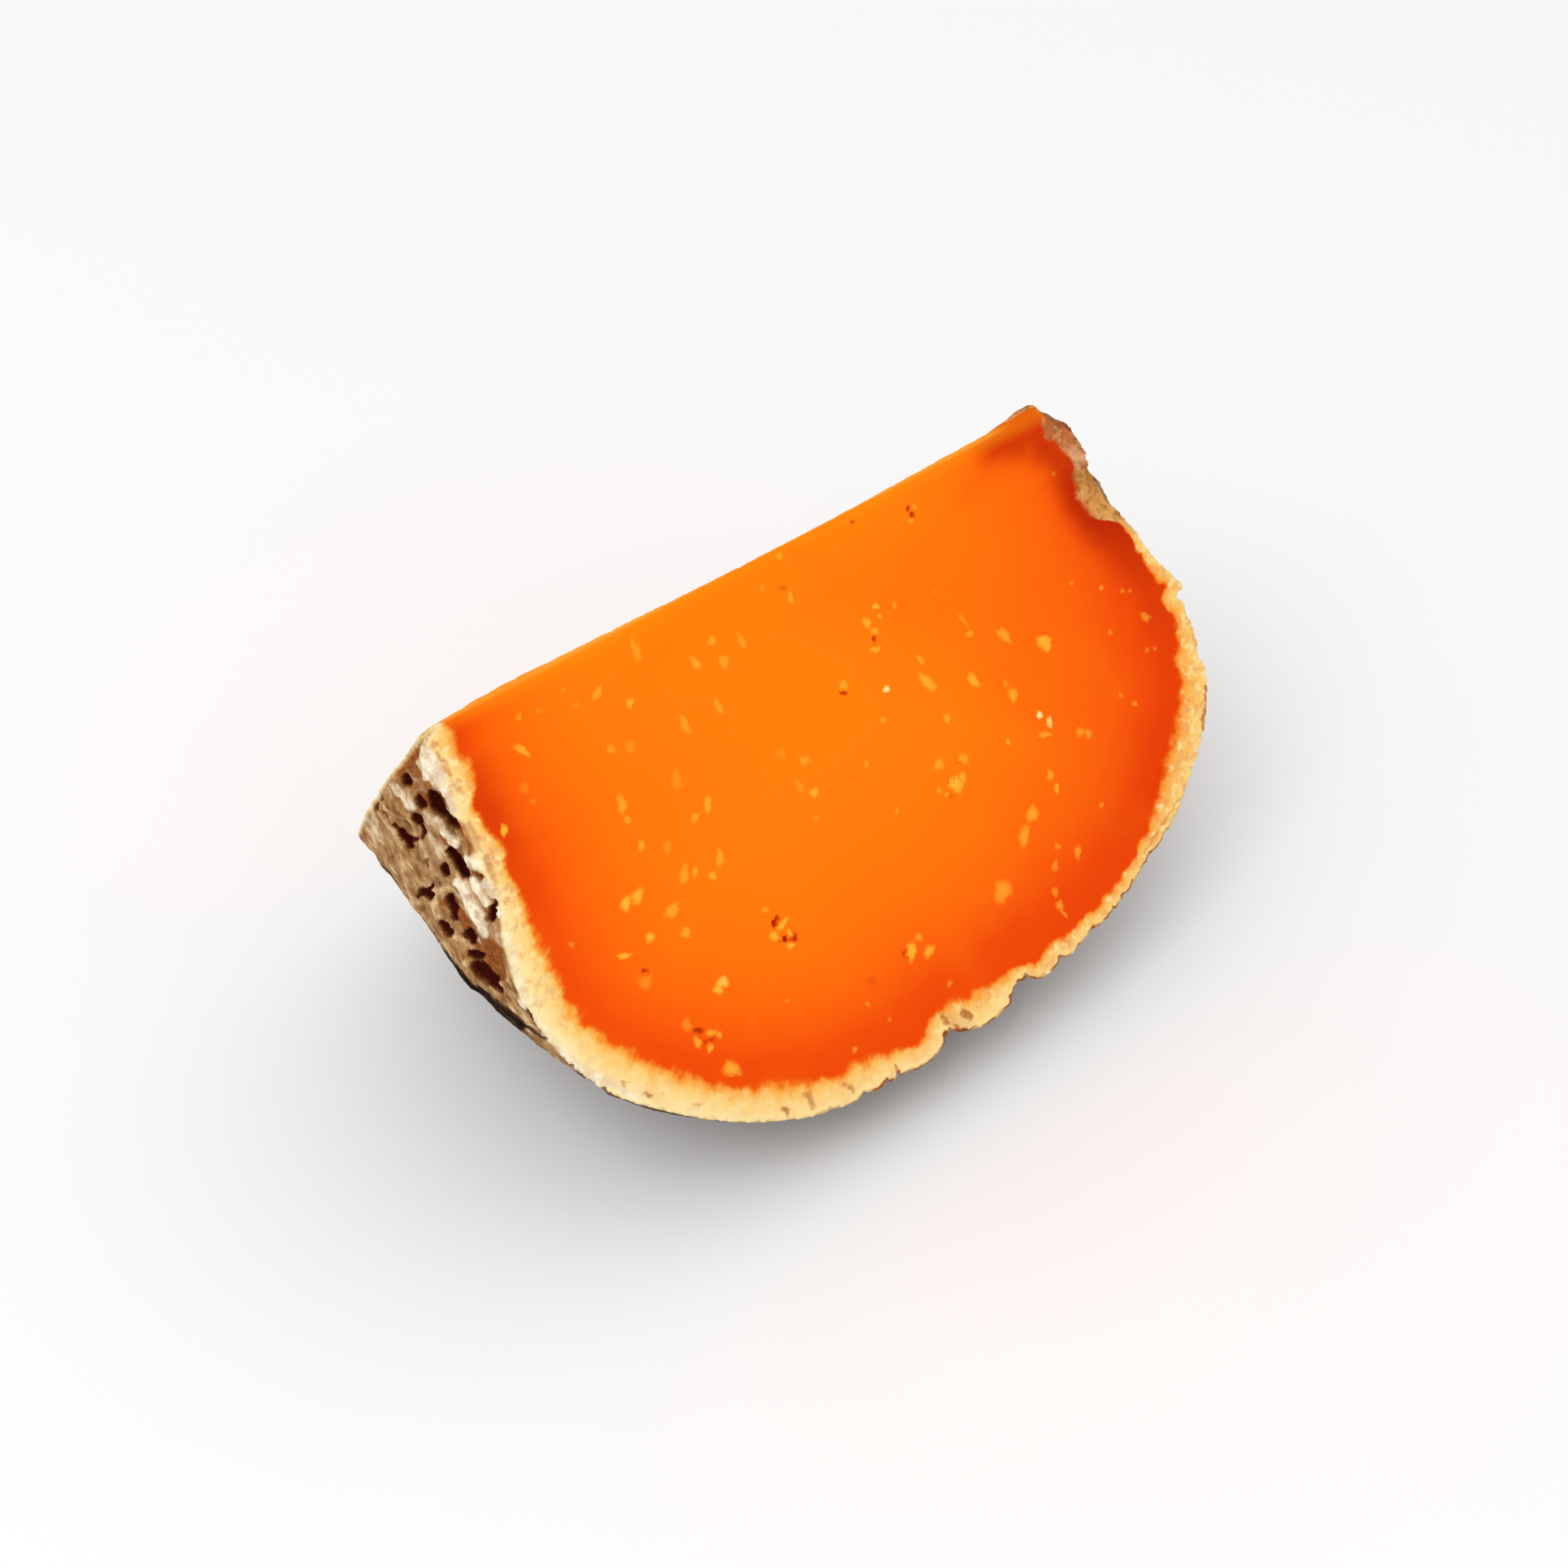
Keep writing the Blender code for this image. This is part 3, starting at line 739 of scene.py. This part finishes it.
# What the material reads at each corner of a piece. Round the rim, the tables give degrees and how
# far the paste has ripened, or the share of a colour.
RIPENESS = (
    (0, 2.0), (8, 1.7), (20, 1.3), (40, 1), (140, 1), (150, 1.25), (165, 1.4), (172, 1.6), (180, 2.2),
)
COLOUR_SHARES = {
    "ember": ((0, 0.5), (10, 0.4), (30, 0.1), (95, 0.1), (118, 0.4), (130, 1), (145, 0.7), (165, 0)),
    "char": (
        (0, 0), (6, 0.15), (14, 0.4), (30, 0), (140, 0), (152, 0.45), (160, 1), (168, 0.95),
        (174, 0.7), (180, 0.5),
    ),
    "mottle": (
        (0, 1), (4, 1), (30, 0.8), (40, 0.25), (80, 0.3), (100, 0.7), (130, 0.8), (155, 0.8),
        (160, 1), (180, 1),
    ),
    "warm": (
        (0, 0.4), (12, 0.3), (34, 0), (50, 0.15), (66, 0.5), (100, 0.55), (112, 0.85), (150, 1),
        (180, 0.7),
    ),
    "rim_line": ((68, 0), (76, 1), (122, 1), (130, 0)),
    "patch": ((157, 0), (160, 1), (178, 1), (180, 0)),
}
PATCH_START = 158
RIM_RADIUS_MM = 85
OUTSIDE_RUN = 0.9 * MM


def paint(mesh, name, values):
    """Keeps one number for each corner of a mesh, for the material."""
    layer = mesh.attributes.new(name, "FLOAT", "POINT")
    layer.data.foreach_set("value", np.asarray(values, np.float32))


def paint_place(mesh, points, depth):
    """What follows from a corner's place on the cheese: its depth and its way round the rim."""
    angle = turn(points)
    paint(mesh, "depth_mm", depth / MM)
    paint(mesh, "ripe_mm", depth / MM * from_table(angle, RIPENESS))
    paint(mesh, "band_share", depth / MM / from_table(angle, BAND))
    paint(mesh, "edge_mm", from_edge(points) / MM)
    for name, table in COLOUR_SHARES.items():
        paint(mesh, name, from_table(angle, table))
    paint(mesh, "patch_run", angle - PATCH_START)
    layer = mesh.attributes.new("run_and_depth", "FLOAT_VECTOR", "POINT")
    run = np.stack((np.radians(angle) * RIM_RADIUS_MM, depth / MM, np.zeros(len(points))), 1)
    layer.data.foreach_set("vector", run.astype(np.float32).ravel())


points = places(mesh)
depth = depth_under_crust(points, on_front, on_back, edges(mesh))
paint_place(mesh, points, depth)
gap_to_cut = np.minimum(np.abs(in_front), np.abs(in_back))
paint(mesh, "outside", np.where(crust, smooth_step(gap_to_cut / OUTSIDE_RUN), 0.0))
for name, values in (("underside_shade", underside_shade), ("pit_shading", pit_shading), ("pale_and_highlight", pale_and_highlight), ("stain_and_shade", stain_and_shade), ("eye", eye_shade)):
    paint(mesh, name, values)
for unused in ("fleck", "fleck_light"):
    paint(mesh, unused, np.zeros(len(points)))

# The material of the whole cheese: paste that reddens towards the crust, the pale dry band under
# it, and the grey-brown crust itself.
cheese = bpy.data.materials.new("mimolette")
cheese.use_nodes = True
tree = cheese.node_tree
shader = tree.nodes["Principled BSDF"]


def shade(red, green, blue):
    """The colour that a screen shows with these three numbers, from 0 to 255."""
    return tuple(
        ((value / 255 + 0.055) / 1.055) ** 2.4 if value > 10 else value / 255 / 12.92
        for value in (red, green, blue)
    )


def new_node(kind, settings=(), **inputs):
    """Adds a node; what is given for an input is a number, a colour or another node's output."""
    made = tree.nodes.new(kind)
    for name, value in settings:
        setattr(made, name, value)
    for name, value in inputs.items():
        socket = made.inputs[int(name[1:])] if name[0] == "_" else made.inputs[name]
        if isinstance(value, bpy.types.NodeSocket):
            tree.links.new(value, socket)
        else:
            socket.default_value = value
    return made


def painted(name):
    """A number that was kept for each corner."""
    return new_node("ShaderNodeAttribute", [("attribute_name", name)]).outputs["Fac"]


def combine(how, first, second):
    """A sum, product or other arithmetic of two numbers."""
    return new_node("ShaderNodeMath", [("operation", how)], _0=first, _1=second).outputs[0]


def times(first, second):
    """The product of two numbers."""
    return combine("MULTIPLY", first, second)


def roughen(value, cloud, strength):
    """A number with cloudy noise of a given strength added to it."""
    return combine("ADD", times(combine("SUBTRACT", cloud, 0.5), strength), value)


def rise(value, low, high):
    """0 where a number is at low, 1 where it is at high, and smooth between. Low may be the larger."""
    settings = [("interpolation_type", "SMOOTHSTEP")]
    return new_node("ShaderNodeMapRange", settings, Value=value, _1=low, _2=high).outputs[0]


def mix(share, first, second):
    """A colour between two colours."""
    made = tree.nodes.new("ShaderNodeMix")
    made.data_type = "RGBA"
    for socket, value in ((made.inputs[0], share), (made.inputs[6], first), (made.inputs[7], second)):
        if isinstance(value, tuple):
            socket.default_value = (*value, 1)
        else:
            tree.links.new(value, socket)
    return made.outputs[2]


def ramp(value, span, stops):
    """A colour that runs through the stops as the number goes from 0 to span."""
    made = new_node("ShaderNodeValToRGB", Fac=combine("DIVIDE", value, span))
    bar = made.color_ramp.elements
    while len(bar) < len(stops):
        bar.new(0.5)
    for element, (place, _) in zip(bar, stops):
        element.position = place / span
    for element, (_, colour) in zip(bar, stops):
        element.color = (*colour, 1)
    return made.outputs[0]


where = new_node("ShaderNodeTexCoord").outputs["Object"]


def speckle(per_metre, detail=3.0, rough=0.55, at=None):
    """Cloudy noise with lumps about one part in per_metre of a metre across."""
    sizes = {"Scale": per_metre, "Detail": detail, "Roughness": rough}
    return new_node("ShaderNodeTexNoise", Vector=at or where, **sizes).outputs["Fac"]


depth_mm = painted("depth_mm")
band_share = painted("band_share")
ember = painted("ember")
mottle = painted("mottle")
warm = painted("warm")

# Paste.
ripe_mm = painted("ripe_mm")
calm_paste = ramp(ripe_mm, 60, (
    (5, shade(240, 74, 5)), (9, shade(242, 79, 6)), (13, shade(251, 93, 8)), (18, shade(254, 106, 8)),
    (26, shade(254, 117, 8)), (40, shade(255, 125, 8)), (60, shade(255, 129, 8)),
))
red_paste = ramp(ripe_mm, 60, (
    (5, shade(228, 59, 3)), (9, shade(232, 62, 4)), (13, shade(240, 74, 5)), (18, shade(249, 88, 7)),
    (26, shade(253, 101, 8)), (40, shade(254, 117, 8)), (60, shade(254, 127, 8)),
))
paste = mix(ember, calm_paste, red_paste)
paste = mix(times(painted("char"), rise(depth_mm, 10.5, 4.4)), paste, shade(190, 40, 1))
# Paler towards the straight edge, and a painted highlight along the edge itself.
paste = mix(times(rise(painted("edge_mm"), 3.2, 0.6), 0.4), paste, shade(254, 146, 14))
paste = mix(times(rise(painted("edge_mm"), 0.9, 0.2), 0.6), paste, shade(253, 176, 60))
paste = mix(times(rise(speckle(70), 0.45, 0.75), 0.1), paste, shade(254, 134, 14))
# The eyes' dark red is painted shade in their hollows.
eye_shade = painted("eye")
paste = mix(rise(eye_shade, 0.0, 0.5), paste, shade(232, 84, 8))
paste = mix(rise(eye_shade, 0.4, 1.0), paste, shade(176, 36, 2))

# Band.
run_and_depth = new_node("ShaderNodeAttribute", [("attribute_name", "run_and_depth")]).outputs["Vector"]
stretched = new_node("ShaderNodeMapping", Vector=run_and_depth, Scale=(1.4, 0.35, 1))
streaks = speckle(1.0, 2.0, 0.5, stretched.outputs[0])
fine = speckle(1300, 3.0, 0.6)
lumps = speckle(420, 3.0, 0.6)
waves = speckle(360, 1.0, 0.4)
ragged = band_share
for cloud_here, strength in ((fine, 0.1), (waves, 0.45), (lumps, 0.3), (streaks, 0.22)):
    ragged = roughen(ragged, cloud_here, strength)
outer_part = rise(ragged, 1.0, 0.75)
cream_band = ramp(ragged, 1.4, (
    (0.0, shade(254, 236, 182)), (0.35, shade(253, 225, 156)), (0.72, shade(253, 206, 116)),
    (0.93, shade(252, 166, 60)), (1.1, shade(246, 112, 22)),
))
warm_band = ramp(ragged, 1.4, (
    (0.0, shade(251, 212, 126)), (0.35, shade(250, 196, 102)), (0.7, shade(249, 174, 76)),
    (0.92, shade(246, 136, 40)), (1.1, shade(236, 90, 10)),
))
band = mix(warm, cream_band, warm_band)
blotch = times(rise(speckle(480, 4.0, 0.6), 0.48, 0.64), outer_part)
blotch_colour = mix(warm, shade(226, 158, 108), shade(240, 160, 92))
band = mix(times(blotch, times(mottle, 0.8)), band, blotch_colour)
light_blotch = times(rise(speckle(660, 3.0, 0.6), 0.5, 0.66), outer_part)
band = mix(times(light_blotch, times(mottle, 0.9)), band, shade(254, 232, 160))
# Brown stains, with painted shadow where the strokes stand for shade.
stain_and_shade = painted("stain_and_shade")
stain_and_shade_share = times(rise(roughen(stain_and_shade, fine, 0.5), 0.05, 0.95), rise(stain_and_shade, 0.0, 0.25))
band_stain_and_shade = mix(rise(fine, 0.38, 0.62), shade(168, 84, 30), shade(204, 124, 66))
band = mix(times(stain_and_shade_share, 0.85), band, band_stain_and_shade)
rim_line = times(painted("rim_line"), rise(depth_mm, 0.5, 0.1))
band = mix(times(rim_line, rise(lumps, 0.3, 0.6)), band, shade(156, 74, 20))
rough_patch = ramp(roughen(painted("patch_run"), lumps, 6.0), 22.0, (
    (1, shade(224, 160, 88)), (6, shade(214, 148, 78)), (9.5, shade(172, 108, 50)),
    (12, shade(220, 164, 120)), (14.5, shade(190, 106, 58)), (19, shade(186, 98, 52)),
    (21.5, shade(222, 116, 50)),
))
patch_dark = rise(speckle(620, 4.0, 0.65), 0.52, 0.36)
patch_light = rise(speckle(760, 4.0, 0.65), 0.52, 0.68)
rough_patch = mix(times(patch_dark, 0.7), rough_patch, shade(140, 76, 30))
rough_patch = mix(times(patch_light, 0.45), rough_patch, shade(242, 196, 138))
band = mix(times(painted("patch"), 0.95), band, rough_patch)
# Pale bits: partly the crust's cream, partly a painted highlight on the ridges.
pale_and_highlight = painted("pale_and_highlight")
pale_and_highlight_colour = mix(rise(lumps, 0.38, 0.6), shade(222, 194, 160), shade(254, 242, 212))
pale_and_highlight_share = times(rise(roughen(pale_and_highlight, lumps, 0.8), 0.05, 0.95), rise(pale_and_highlight, 0.0, 0.3))
band = mix(times(pale_and_highlight_share, 0.9), band, pale_and_highlight_colour)
front = mix(rise(ragged, 0.88, 1.2), band, paste)

# Crust.
crust_lumps = speckle(340, 4.0, 0.62)
crust_colour = ramp(crust_lumps, 1.0, (
    (0.34, shade(124, 82, 44)), (0.44, shade(156, 113, 68)), (0.53, shade(181, 140, 93)),
    (0.64, shade(224, 190, 142)),
))
dusty = times(rise(speckle(120), 0.46, 0.66), 0.5)
crust_colour = mix(dusty, crust_colour, shade(180, 140, 106))
olive = times(rise(speckle(700, 3.0, 0.6), 0.54, 0.68), 0.5)
crust_colour = mix(olive, crust_colour, shade(140, 96, 40))
crust_colour = mix(pale_and_highlight_share, crust_colour, pale_and_highlight_colour)
brown = mix(rise(fine, 0.35, 0.65), shade(122, 60, 18), shade(160, 94, 42))
crust_colour = mix(times(stain_and_shade_share, 0.95), crust_colour, brown)
# Painted shade of the under side: dark brown, and near black in the painted shadow along the left end's
# outline.
underside_shade_colour = mix(crust_lumps, shade(24, 12, 6), shade(98, 68, 42))
underside_shade = roughen(painted("underside_shade"), lumps, 0.5)
crust_colour = mix(times(rise(underside_shade, 0.1, 0.9), 0.9), crust_colour, underside_shade_colour)
crust_colour = mix(rise(underside_shade, 0.9, 1.25), crust_colour, shade(28, 12, 5))
# Pits: brown round their rims, partly the crust's own colour, and painted shade inside; darker still in
# the under side's painted shade.
pit_shape = roughen(painted("pit_shading"), fine, 0.4)
pit_side_brown_and_shade = mix(rise(underside_shade, 0.1, 0.8), shade(112, 64, 28), shade(58, 34, 20))
pit_bottom_shade = mix(rise(underside_shade, 0.1, 0.8), shade(58, 12, 7), shade(30, 12, 8))
crust_colour = mix(rise(pit_shape, 0.08, 0.6), crust_colour, pit_side_brown_and_shade)
crust_colour = mix(rise(pit_shape, 0.38, 0.85), crust_colour, pit_bottom_shade)
surface = mix(painted("outside"), front, crust_colour)

# Flecks: crystals and tiny openings that show pale yellow in the cut.
fleck_shape = roughen(painted("fleck"), speckle(1700, 2.0, 0.5), 0.7)
fleck_light = painted("fleck_light")
fleck_strength = times(rise(fleck_shape, 0.05, 0.95), times(fleck_light, 0.9))
fleck_colour = mix(rise(fleck_light, 0.8, 1.0), shade(255, 202, 58), shade(255, 242, 160))
surface = mix(fleck_strength, surface, fleck_colour)
tree.links.new(surface, shader.inputs["Base Color"])
shader.inputs["Specular IOR Level"].default_value = 0.02
shine = new_node("ShaderNodeMapRange", Value=ragged, _1=0.9, _2=1.3, _3=0.85, _4=0.5)
tree.links.new(shine.outputs[0], shader.inputs["Roughness"])
relief = times(fine, rise(ragged, 1.25, 0.9))
bump = new_node("ShaderNodeBump", Height=relief, Strength=0.5, Distance=0.25 * MM)
tree.links.new(bump.outputs[0], shader.inputs["Normal"])
mesh.materials.clear()
mesh.materials.append(cheese)
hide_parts("mimolette_wedge")
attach(wedge, "root")

# Flecks of the paste: hard white crystals and slits cut open by the knife. Each is a thin
# irregular blister that barely stands out of the cut. Place in the photograph, length and width,
# all in its pixels, then lean in degrees from upright and how pale.
FLECKS = (
    (621, 1023, 13, 9, 0, 0.8), (766, 991, 25, 9, -8, 0.5), (773, 1010, 9, 8, 0, 0.45),
    (790, 1042, 13, 8, 0, 0.5), (822, 1044, 16, 8, 0, 0.25), (843, 1077, 24, 10, 0, 0.4),
    (856, 1074, 14, 6, 0, 0.45), (785, 1104, 20, 12, 35, 0.7), (771, 1114, 16, 12, 0, 0.8),
    (828, 1122, 22, 12, 35, 0.45), (801, 1155, 14, 9, 35, 0.65), (845, 1149, 14, 10, 0, 0.5),
    (769, 1178, 16, 7, 90, 0.75), (646, 971, 14, 10, 0, 0.2), (657, 987, 8, 7, 0, 0.25),
    (704, 1164, 10, 6, -35, 0.25), (834, 961, 20, 12, 0, 0.25), (856, 1008, 14, 8, 30, 0.4),
    (1127, 625, 7, 6, 0, 0.35), (1122, 642, 7, 6, 0, 0.35), (1051, 634, 14, 6, 90, 0.5),
    (960, 685, 8, 8, 0, 0.45), (974, 736, 14, 6, 0, 0.5), (1079, 747, 8, 8, 0, 0.65),
    (1084, 759, 7, 6, 0, 0.35), (1102, 746, 8, 5, 0, 0.35), (1068, 767, 12, 10, 0, 0.5),
    (1077, 778, 12, 7, 90, 0.5), (1079, 800, 12, 8, 90, 0.5), (1134, 813, 12, 6, -40, 0.45),
    (877, 790, 10, 10, 0, 0.4), (914, 790, 18, 8, -30, 0.35), (892, 815, 14, 12, 0, 0.4),
    (940, 725, 8, 6, 0, 0.2), (857, 817, 16, 9, -35, 0.45), (885, 870, 20, 8, -30, 0.4),
    (844, 893, 24, 8, -20, 0.4), (1039, 844, 12, 9, -30, 0.5), (1092, 849, 8, 7, 0, 1.0),
    (1088, 887, 8, 6, 90, 0.35), (1068, 941, 8, 6, 0, 0.35), (963, 929, 14, 12, 0, 0.15),
    (991, 937, 12, 11, 0, 0.35), (985, 968, 16, 6, -25, 0.3), (1003, 976, 11, 11, 0, 0.6),
    (1005, 1008, 8, 7, 0, 0.2), (872, 991, 18, 9, 0, 0.55), (1105, 999, 9, 5, 0, 0.3),
    (887, 1057, 18, 10, 0, 0.45), (878, 1079, 10, 9, 0, 0.5), (1177, 966, 22, 14, -50, 0.75),
    (1186, 958, 12, 9, 0, 0.6), (1157, 942, 14, 10, 0, 0.45), (1187, 935, 14, 10, -30, 0.45),
    (1157, 974, 8, 6, 0, 0.35), (1166, 979, 7, 6, 0, 0.3), (1242, 914, 7, 6, 0, 0.5),
    (1287, 905, 14, 8, 90, 0.45), (1331, 902, 12, 9, 0, 0.45), (1341, 904, 12, 8, 0, 0.4),
    (1294, 955, 11, 8, 0, 0.45), (1302, 971, 11, 6, 0, 0.6), (1272, 1003, 18, 12, 0, 0.55),
    (1262, 1030, 24, 11, 15, 0.5), (1328, 1050, 15, 8, 0, 0.45), (1303, 1043, 8, 7, 0, 0.3),
    (1300, 1067, 13, 7, 0, 0.35), (1235, 1098, 24, 21, 20, 0.5), (1300, 1099, 10, 8, 0, 0.45),
    (1306, 1116, 12, 9, 0, 0.45), (1357, 992, 6, 6, 0, 0.4), (1123, 1172, 20, 12, 0, 0.75),
    (1145, 1172, 18, 9, 35, 0.65),
    (1132, 1155, 10, 9, 0, 0.4), (1311, 1126, 14, 4, -40, 0.35), (891, 1210, 14, 12, 20, 0.85),
    (885, 1219, 12, 10, 60, 0.8), (964, 1139, 18, 7, 40, 0.65), (954, 1154, 12, 11, 0, 0.65),
    (973, 1150, 10, 6, 0, 0.6), (974, 1165, 9, 8, 0, 0.7), (943, 1121, 8, 7, 0, 0.35),
    (859, 1284, 14, 9, -30, 0.65), (876, 1273, 12, 9, 60, 0.55), (886, 1275, 8, 7, 0, 0.55),
    (875, 1291, 10, 8, 0, 0.65), (846, 1263, 14, 12, 0, 0.3), (901, 1317, 19, 18, 0, 0.65),
    (970, 1233, 5, 5, 0, 0.25), (1152, 728, 8, 6, 0, 0.15), (1186, 763, 20, 6, -35, 0.25),
    (1195, 781, 8, 8, 0, 0.45), (1237, 783, 22, 10, -50, 0.5), (1286, 790, 18, 13, 60, 0.75),
    (1290, 797, 12, 9, 0, 0.7), (1143, 841, 26, 11, -35, 0.55), (1199, 838, 16, 11, -35, 0.65),
    (1248, 856, 14, 11, 0, 0.55), (1239, 842, 8, 6, 0, 0.25), (1167, 886, 12, 8, 0, 0.45),
    (1281, 881, 8, 7, 0, 1.0), (1293, 890, 12, 7, 0, 0.9), (1357, 724, 6, 6, 0, 0.4),
    (1320, 719, 6, 5, 0, 0.25), (1368, 779, 6, 6, 0, 0.3), (783, 801, 28, 8, -15, 0.35),
    (736, 854, 16, 9, 35, 0.45), (776, 866, 11, 9, 0, 0.55), (639, 884, 8, 7, 0, 0.35),
    (643, 924, 20, 9, -50, 0.6), (753, 923, 12, 10, 0, 0.35), (776, 920, 14, 12, 0, 0.25),
    (833, 959, 8, 7, 0, 0.2), (694, 850, 8, 7, 0, 0.15), (663, 876, 8, 6, 0, 0.2),
    (710, 869, 8, 7, 0, 0.2), (1383, 728, 6, 5, 0, 0.35), (1392, 728, 5, 5, 0, 0.25),
    (1411, 760, 14, 8, -50, 0.45), (1381, 856, 6, 5, 0, 0.3), (1398, 867, 7, 6, 0, 0.4),
    (1413, 801, 6, 5, 0, 0.25), (1423, 799, 5, 5, 0, 0.25), (1298, 584, 6, 5, 0, 0.2),
    (1069, 1237, 6, 6, 0, 0.3), (1096, 1256, 6, 5, 0, 0.2), (1053, 1293, 8, 6, 0, 0.4),
    (1170, 1212, 8, 6, 0, 0.35), (795, 1210, 15, 17, 0, 0.28),
)
# The rings of a fleck from the middle out: reach in half widths, how clear, and height in
# millimetres. Its outline swells and shrinks in waves: how many round it, and by what share.
FLECK_RINGS = ((0.4, 0.92, 0.05), (0.85, 0.6, 0.035), (1.3, 0.25, 0.012), (1.8, -0.3, -0.03))
FLECK_WAVES = ((2, 0.12), (3, 0.12), (5, 0.1))
FLECK_SPOKES = 12
FLECK_TOP = 0.07
FLECK_SEED = 17
FRONT_SIDE = -0.5 * MM

surface_tree = BVHTree.FromPolygons(
    [tuple(point) for point in points], [tuple(face.vertices) for face in mesh.polygons]
)
draw = np.random.default_rng(FLECK_SEED)
fleck_points = []
fleck_faces = []
fleck_marks = []
fleck_lights = []


def on_cheese(x, y, flip):
    """The point and direction of the cheese seen at a pixel, or on the back cut opposite it."""
    ray = right * (x - PHOTO_SIDE / 2) / focal_pixels - up * (y - PHOTO_SIDE / 2) / focal_pixels - back
    start = eye.copy()
    if flip:
        start.y = 2 * EDGE_PLACE[1] - start.y
        ray = Vector((ray.x, -ray.y, ray.z))
    place, way, _, _ = surface_tree.ray_cast(start, ray.normalized())
    return place, Vector(BACK_OUT if flip else FRONT_OUT)


def add_fleck(x, y, length, width, lean, bright, flip):
    """Adds one blister of rings round a middle, laid on the cut."""
    wobble = [draw.random() for _ in FLECK_WAVES]
    first = len(fleck_points)
    tilt = math.radians(lean)
    rings = [(0.0, 1.0, FLECK_TOP)] + list(FLECK_RINGS)
    for reach, strength, height in rings:
        for spoke in range(1 if reach == 0 else FLECK_SPOKES):
            way = math.tau * spoke / FLECK_SPOKES
            swell = 1.0
            for (waves_round, share), start_here in zip(FLECK_WAVES, wobble):
                swell += share * math.sin(waves_round * way + 6 * start_here)
            across = reach * swell * width / 2 * math.cos(way)
            along = reach * swell * length / 2 * math.sin(way)
            pixel_x = x + across * math.cos(tilt) + along * math.sin(tilt)
            pixel_y = y + across * math.sin(tilt) - along * math.cos(tilt)
            place, out = on_cheese(pixel_x, pixel_y, flip)
            if place is None:
                del fleck_points[first:], fleck_marks[first:], fleck_lights[first:]
                return
            fleck_points.append(place + out * height * MM)
            fleck_marks.append(strength)
            fleck_lights.append(bright if strength > 0 else 0.0)
    for spoke in range(FLECK_SPOKES):
        after = (spoke + 1) % FLECK_SPOKES
        fleck_faces.append((first, first + 1 + after, first + 1 + spoke))
        for ring in range(len(FLECK_RINGS) - 1):
            inner = first + 1 + ring * FLECK_SPOKES
            outer = inner + FLECK_SPOKES
            fleck_faces.append((inner + spoke, inner + after, outer + after, outer + spoke))


for x, y, length, width, lean, bright in FLECKS:
    add_fleck(x, y, length, width, lean, bright, False)
BACK_FLECKS = 120
for _ in range(BACK_FLECKS):
    x = 700 + 680 * draw.random()
    y = 640 + 640 * draw.random()
    length = 7 + 17 * draw.random() ** 2
    width = 6 + 6 * draw.random()
    lean = 180 * draw.random()
    bright = 0.2 + 0.6 * draw.random()
    add_fleck(x, y, length, width, lean, bright, True)

flecks_mesh = bpy.data.meshes.new("paste_flecks")
flecks_mesh.from_pydata(fleck_points, [], fleck_faces)
flecks = add_piece("paste_flecks", flecks_mesh)
spots = places(flecks_mesh)
front_rim = rim_tree(points, on_front, edges(mesh))
back_rim = rim_tree(points, on_back, edges(mesh))
fleck_depth = np.zeros(len(spots))
for number, spot in enumerate(spots):
    on_front_cut = (spot - EDGE_PLACE) @ FRONT_OUT > FRONT_SIDE
    fleck_depth[number] = (front_rim if on_front_cut else back_rim).find(spot)[2]
paint_place(flecks_mesh, spots, fleck_depth)
paint(flecks_mesh, "fleck", fleck_marks)
paint(flecks_mesh, "fleck_light", fleck_lights)
for unused in ("outside", "underside_shade", "pit_shading", "pale_and_highlight", "stain_and_shade", "eye"):
    paint(flecks_mesh, unused, np.zeros(len(spots)))
flecks_mesh.materials.append(cheese)
flecks_mesh.shade_smooth()
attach(flecks, "root")
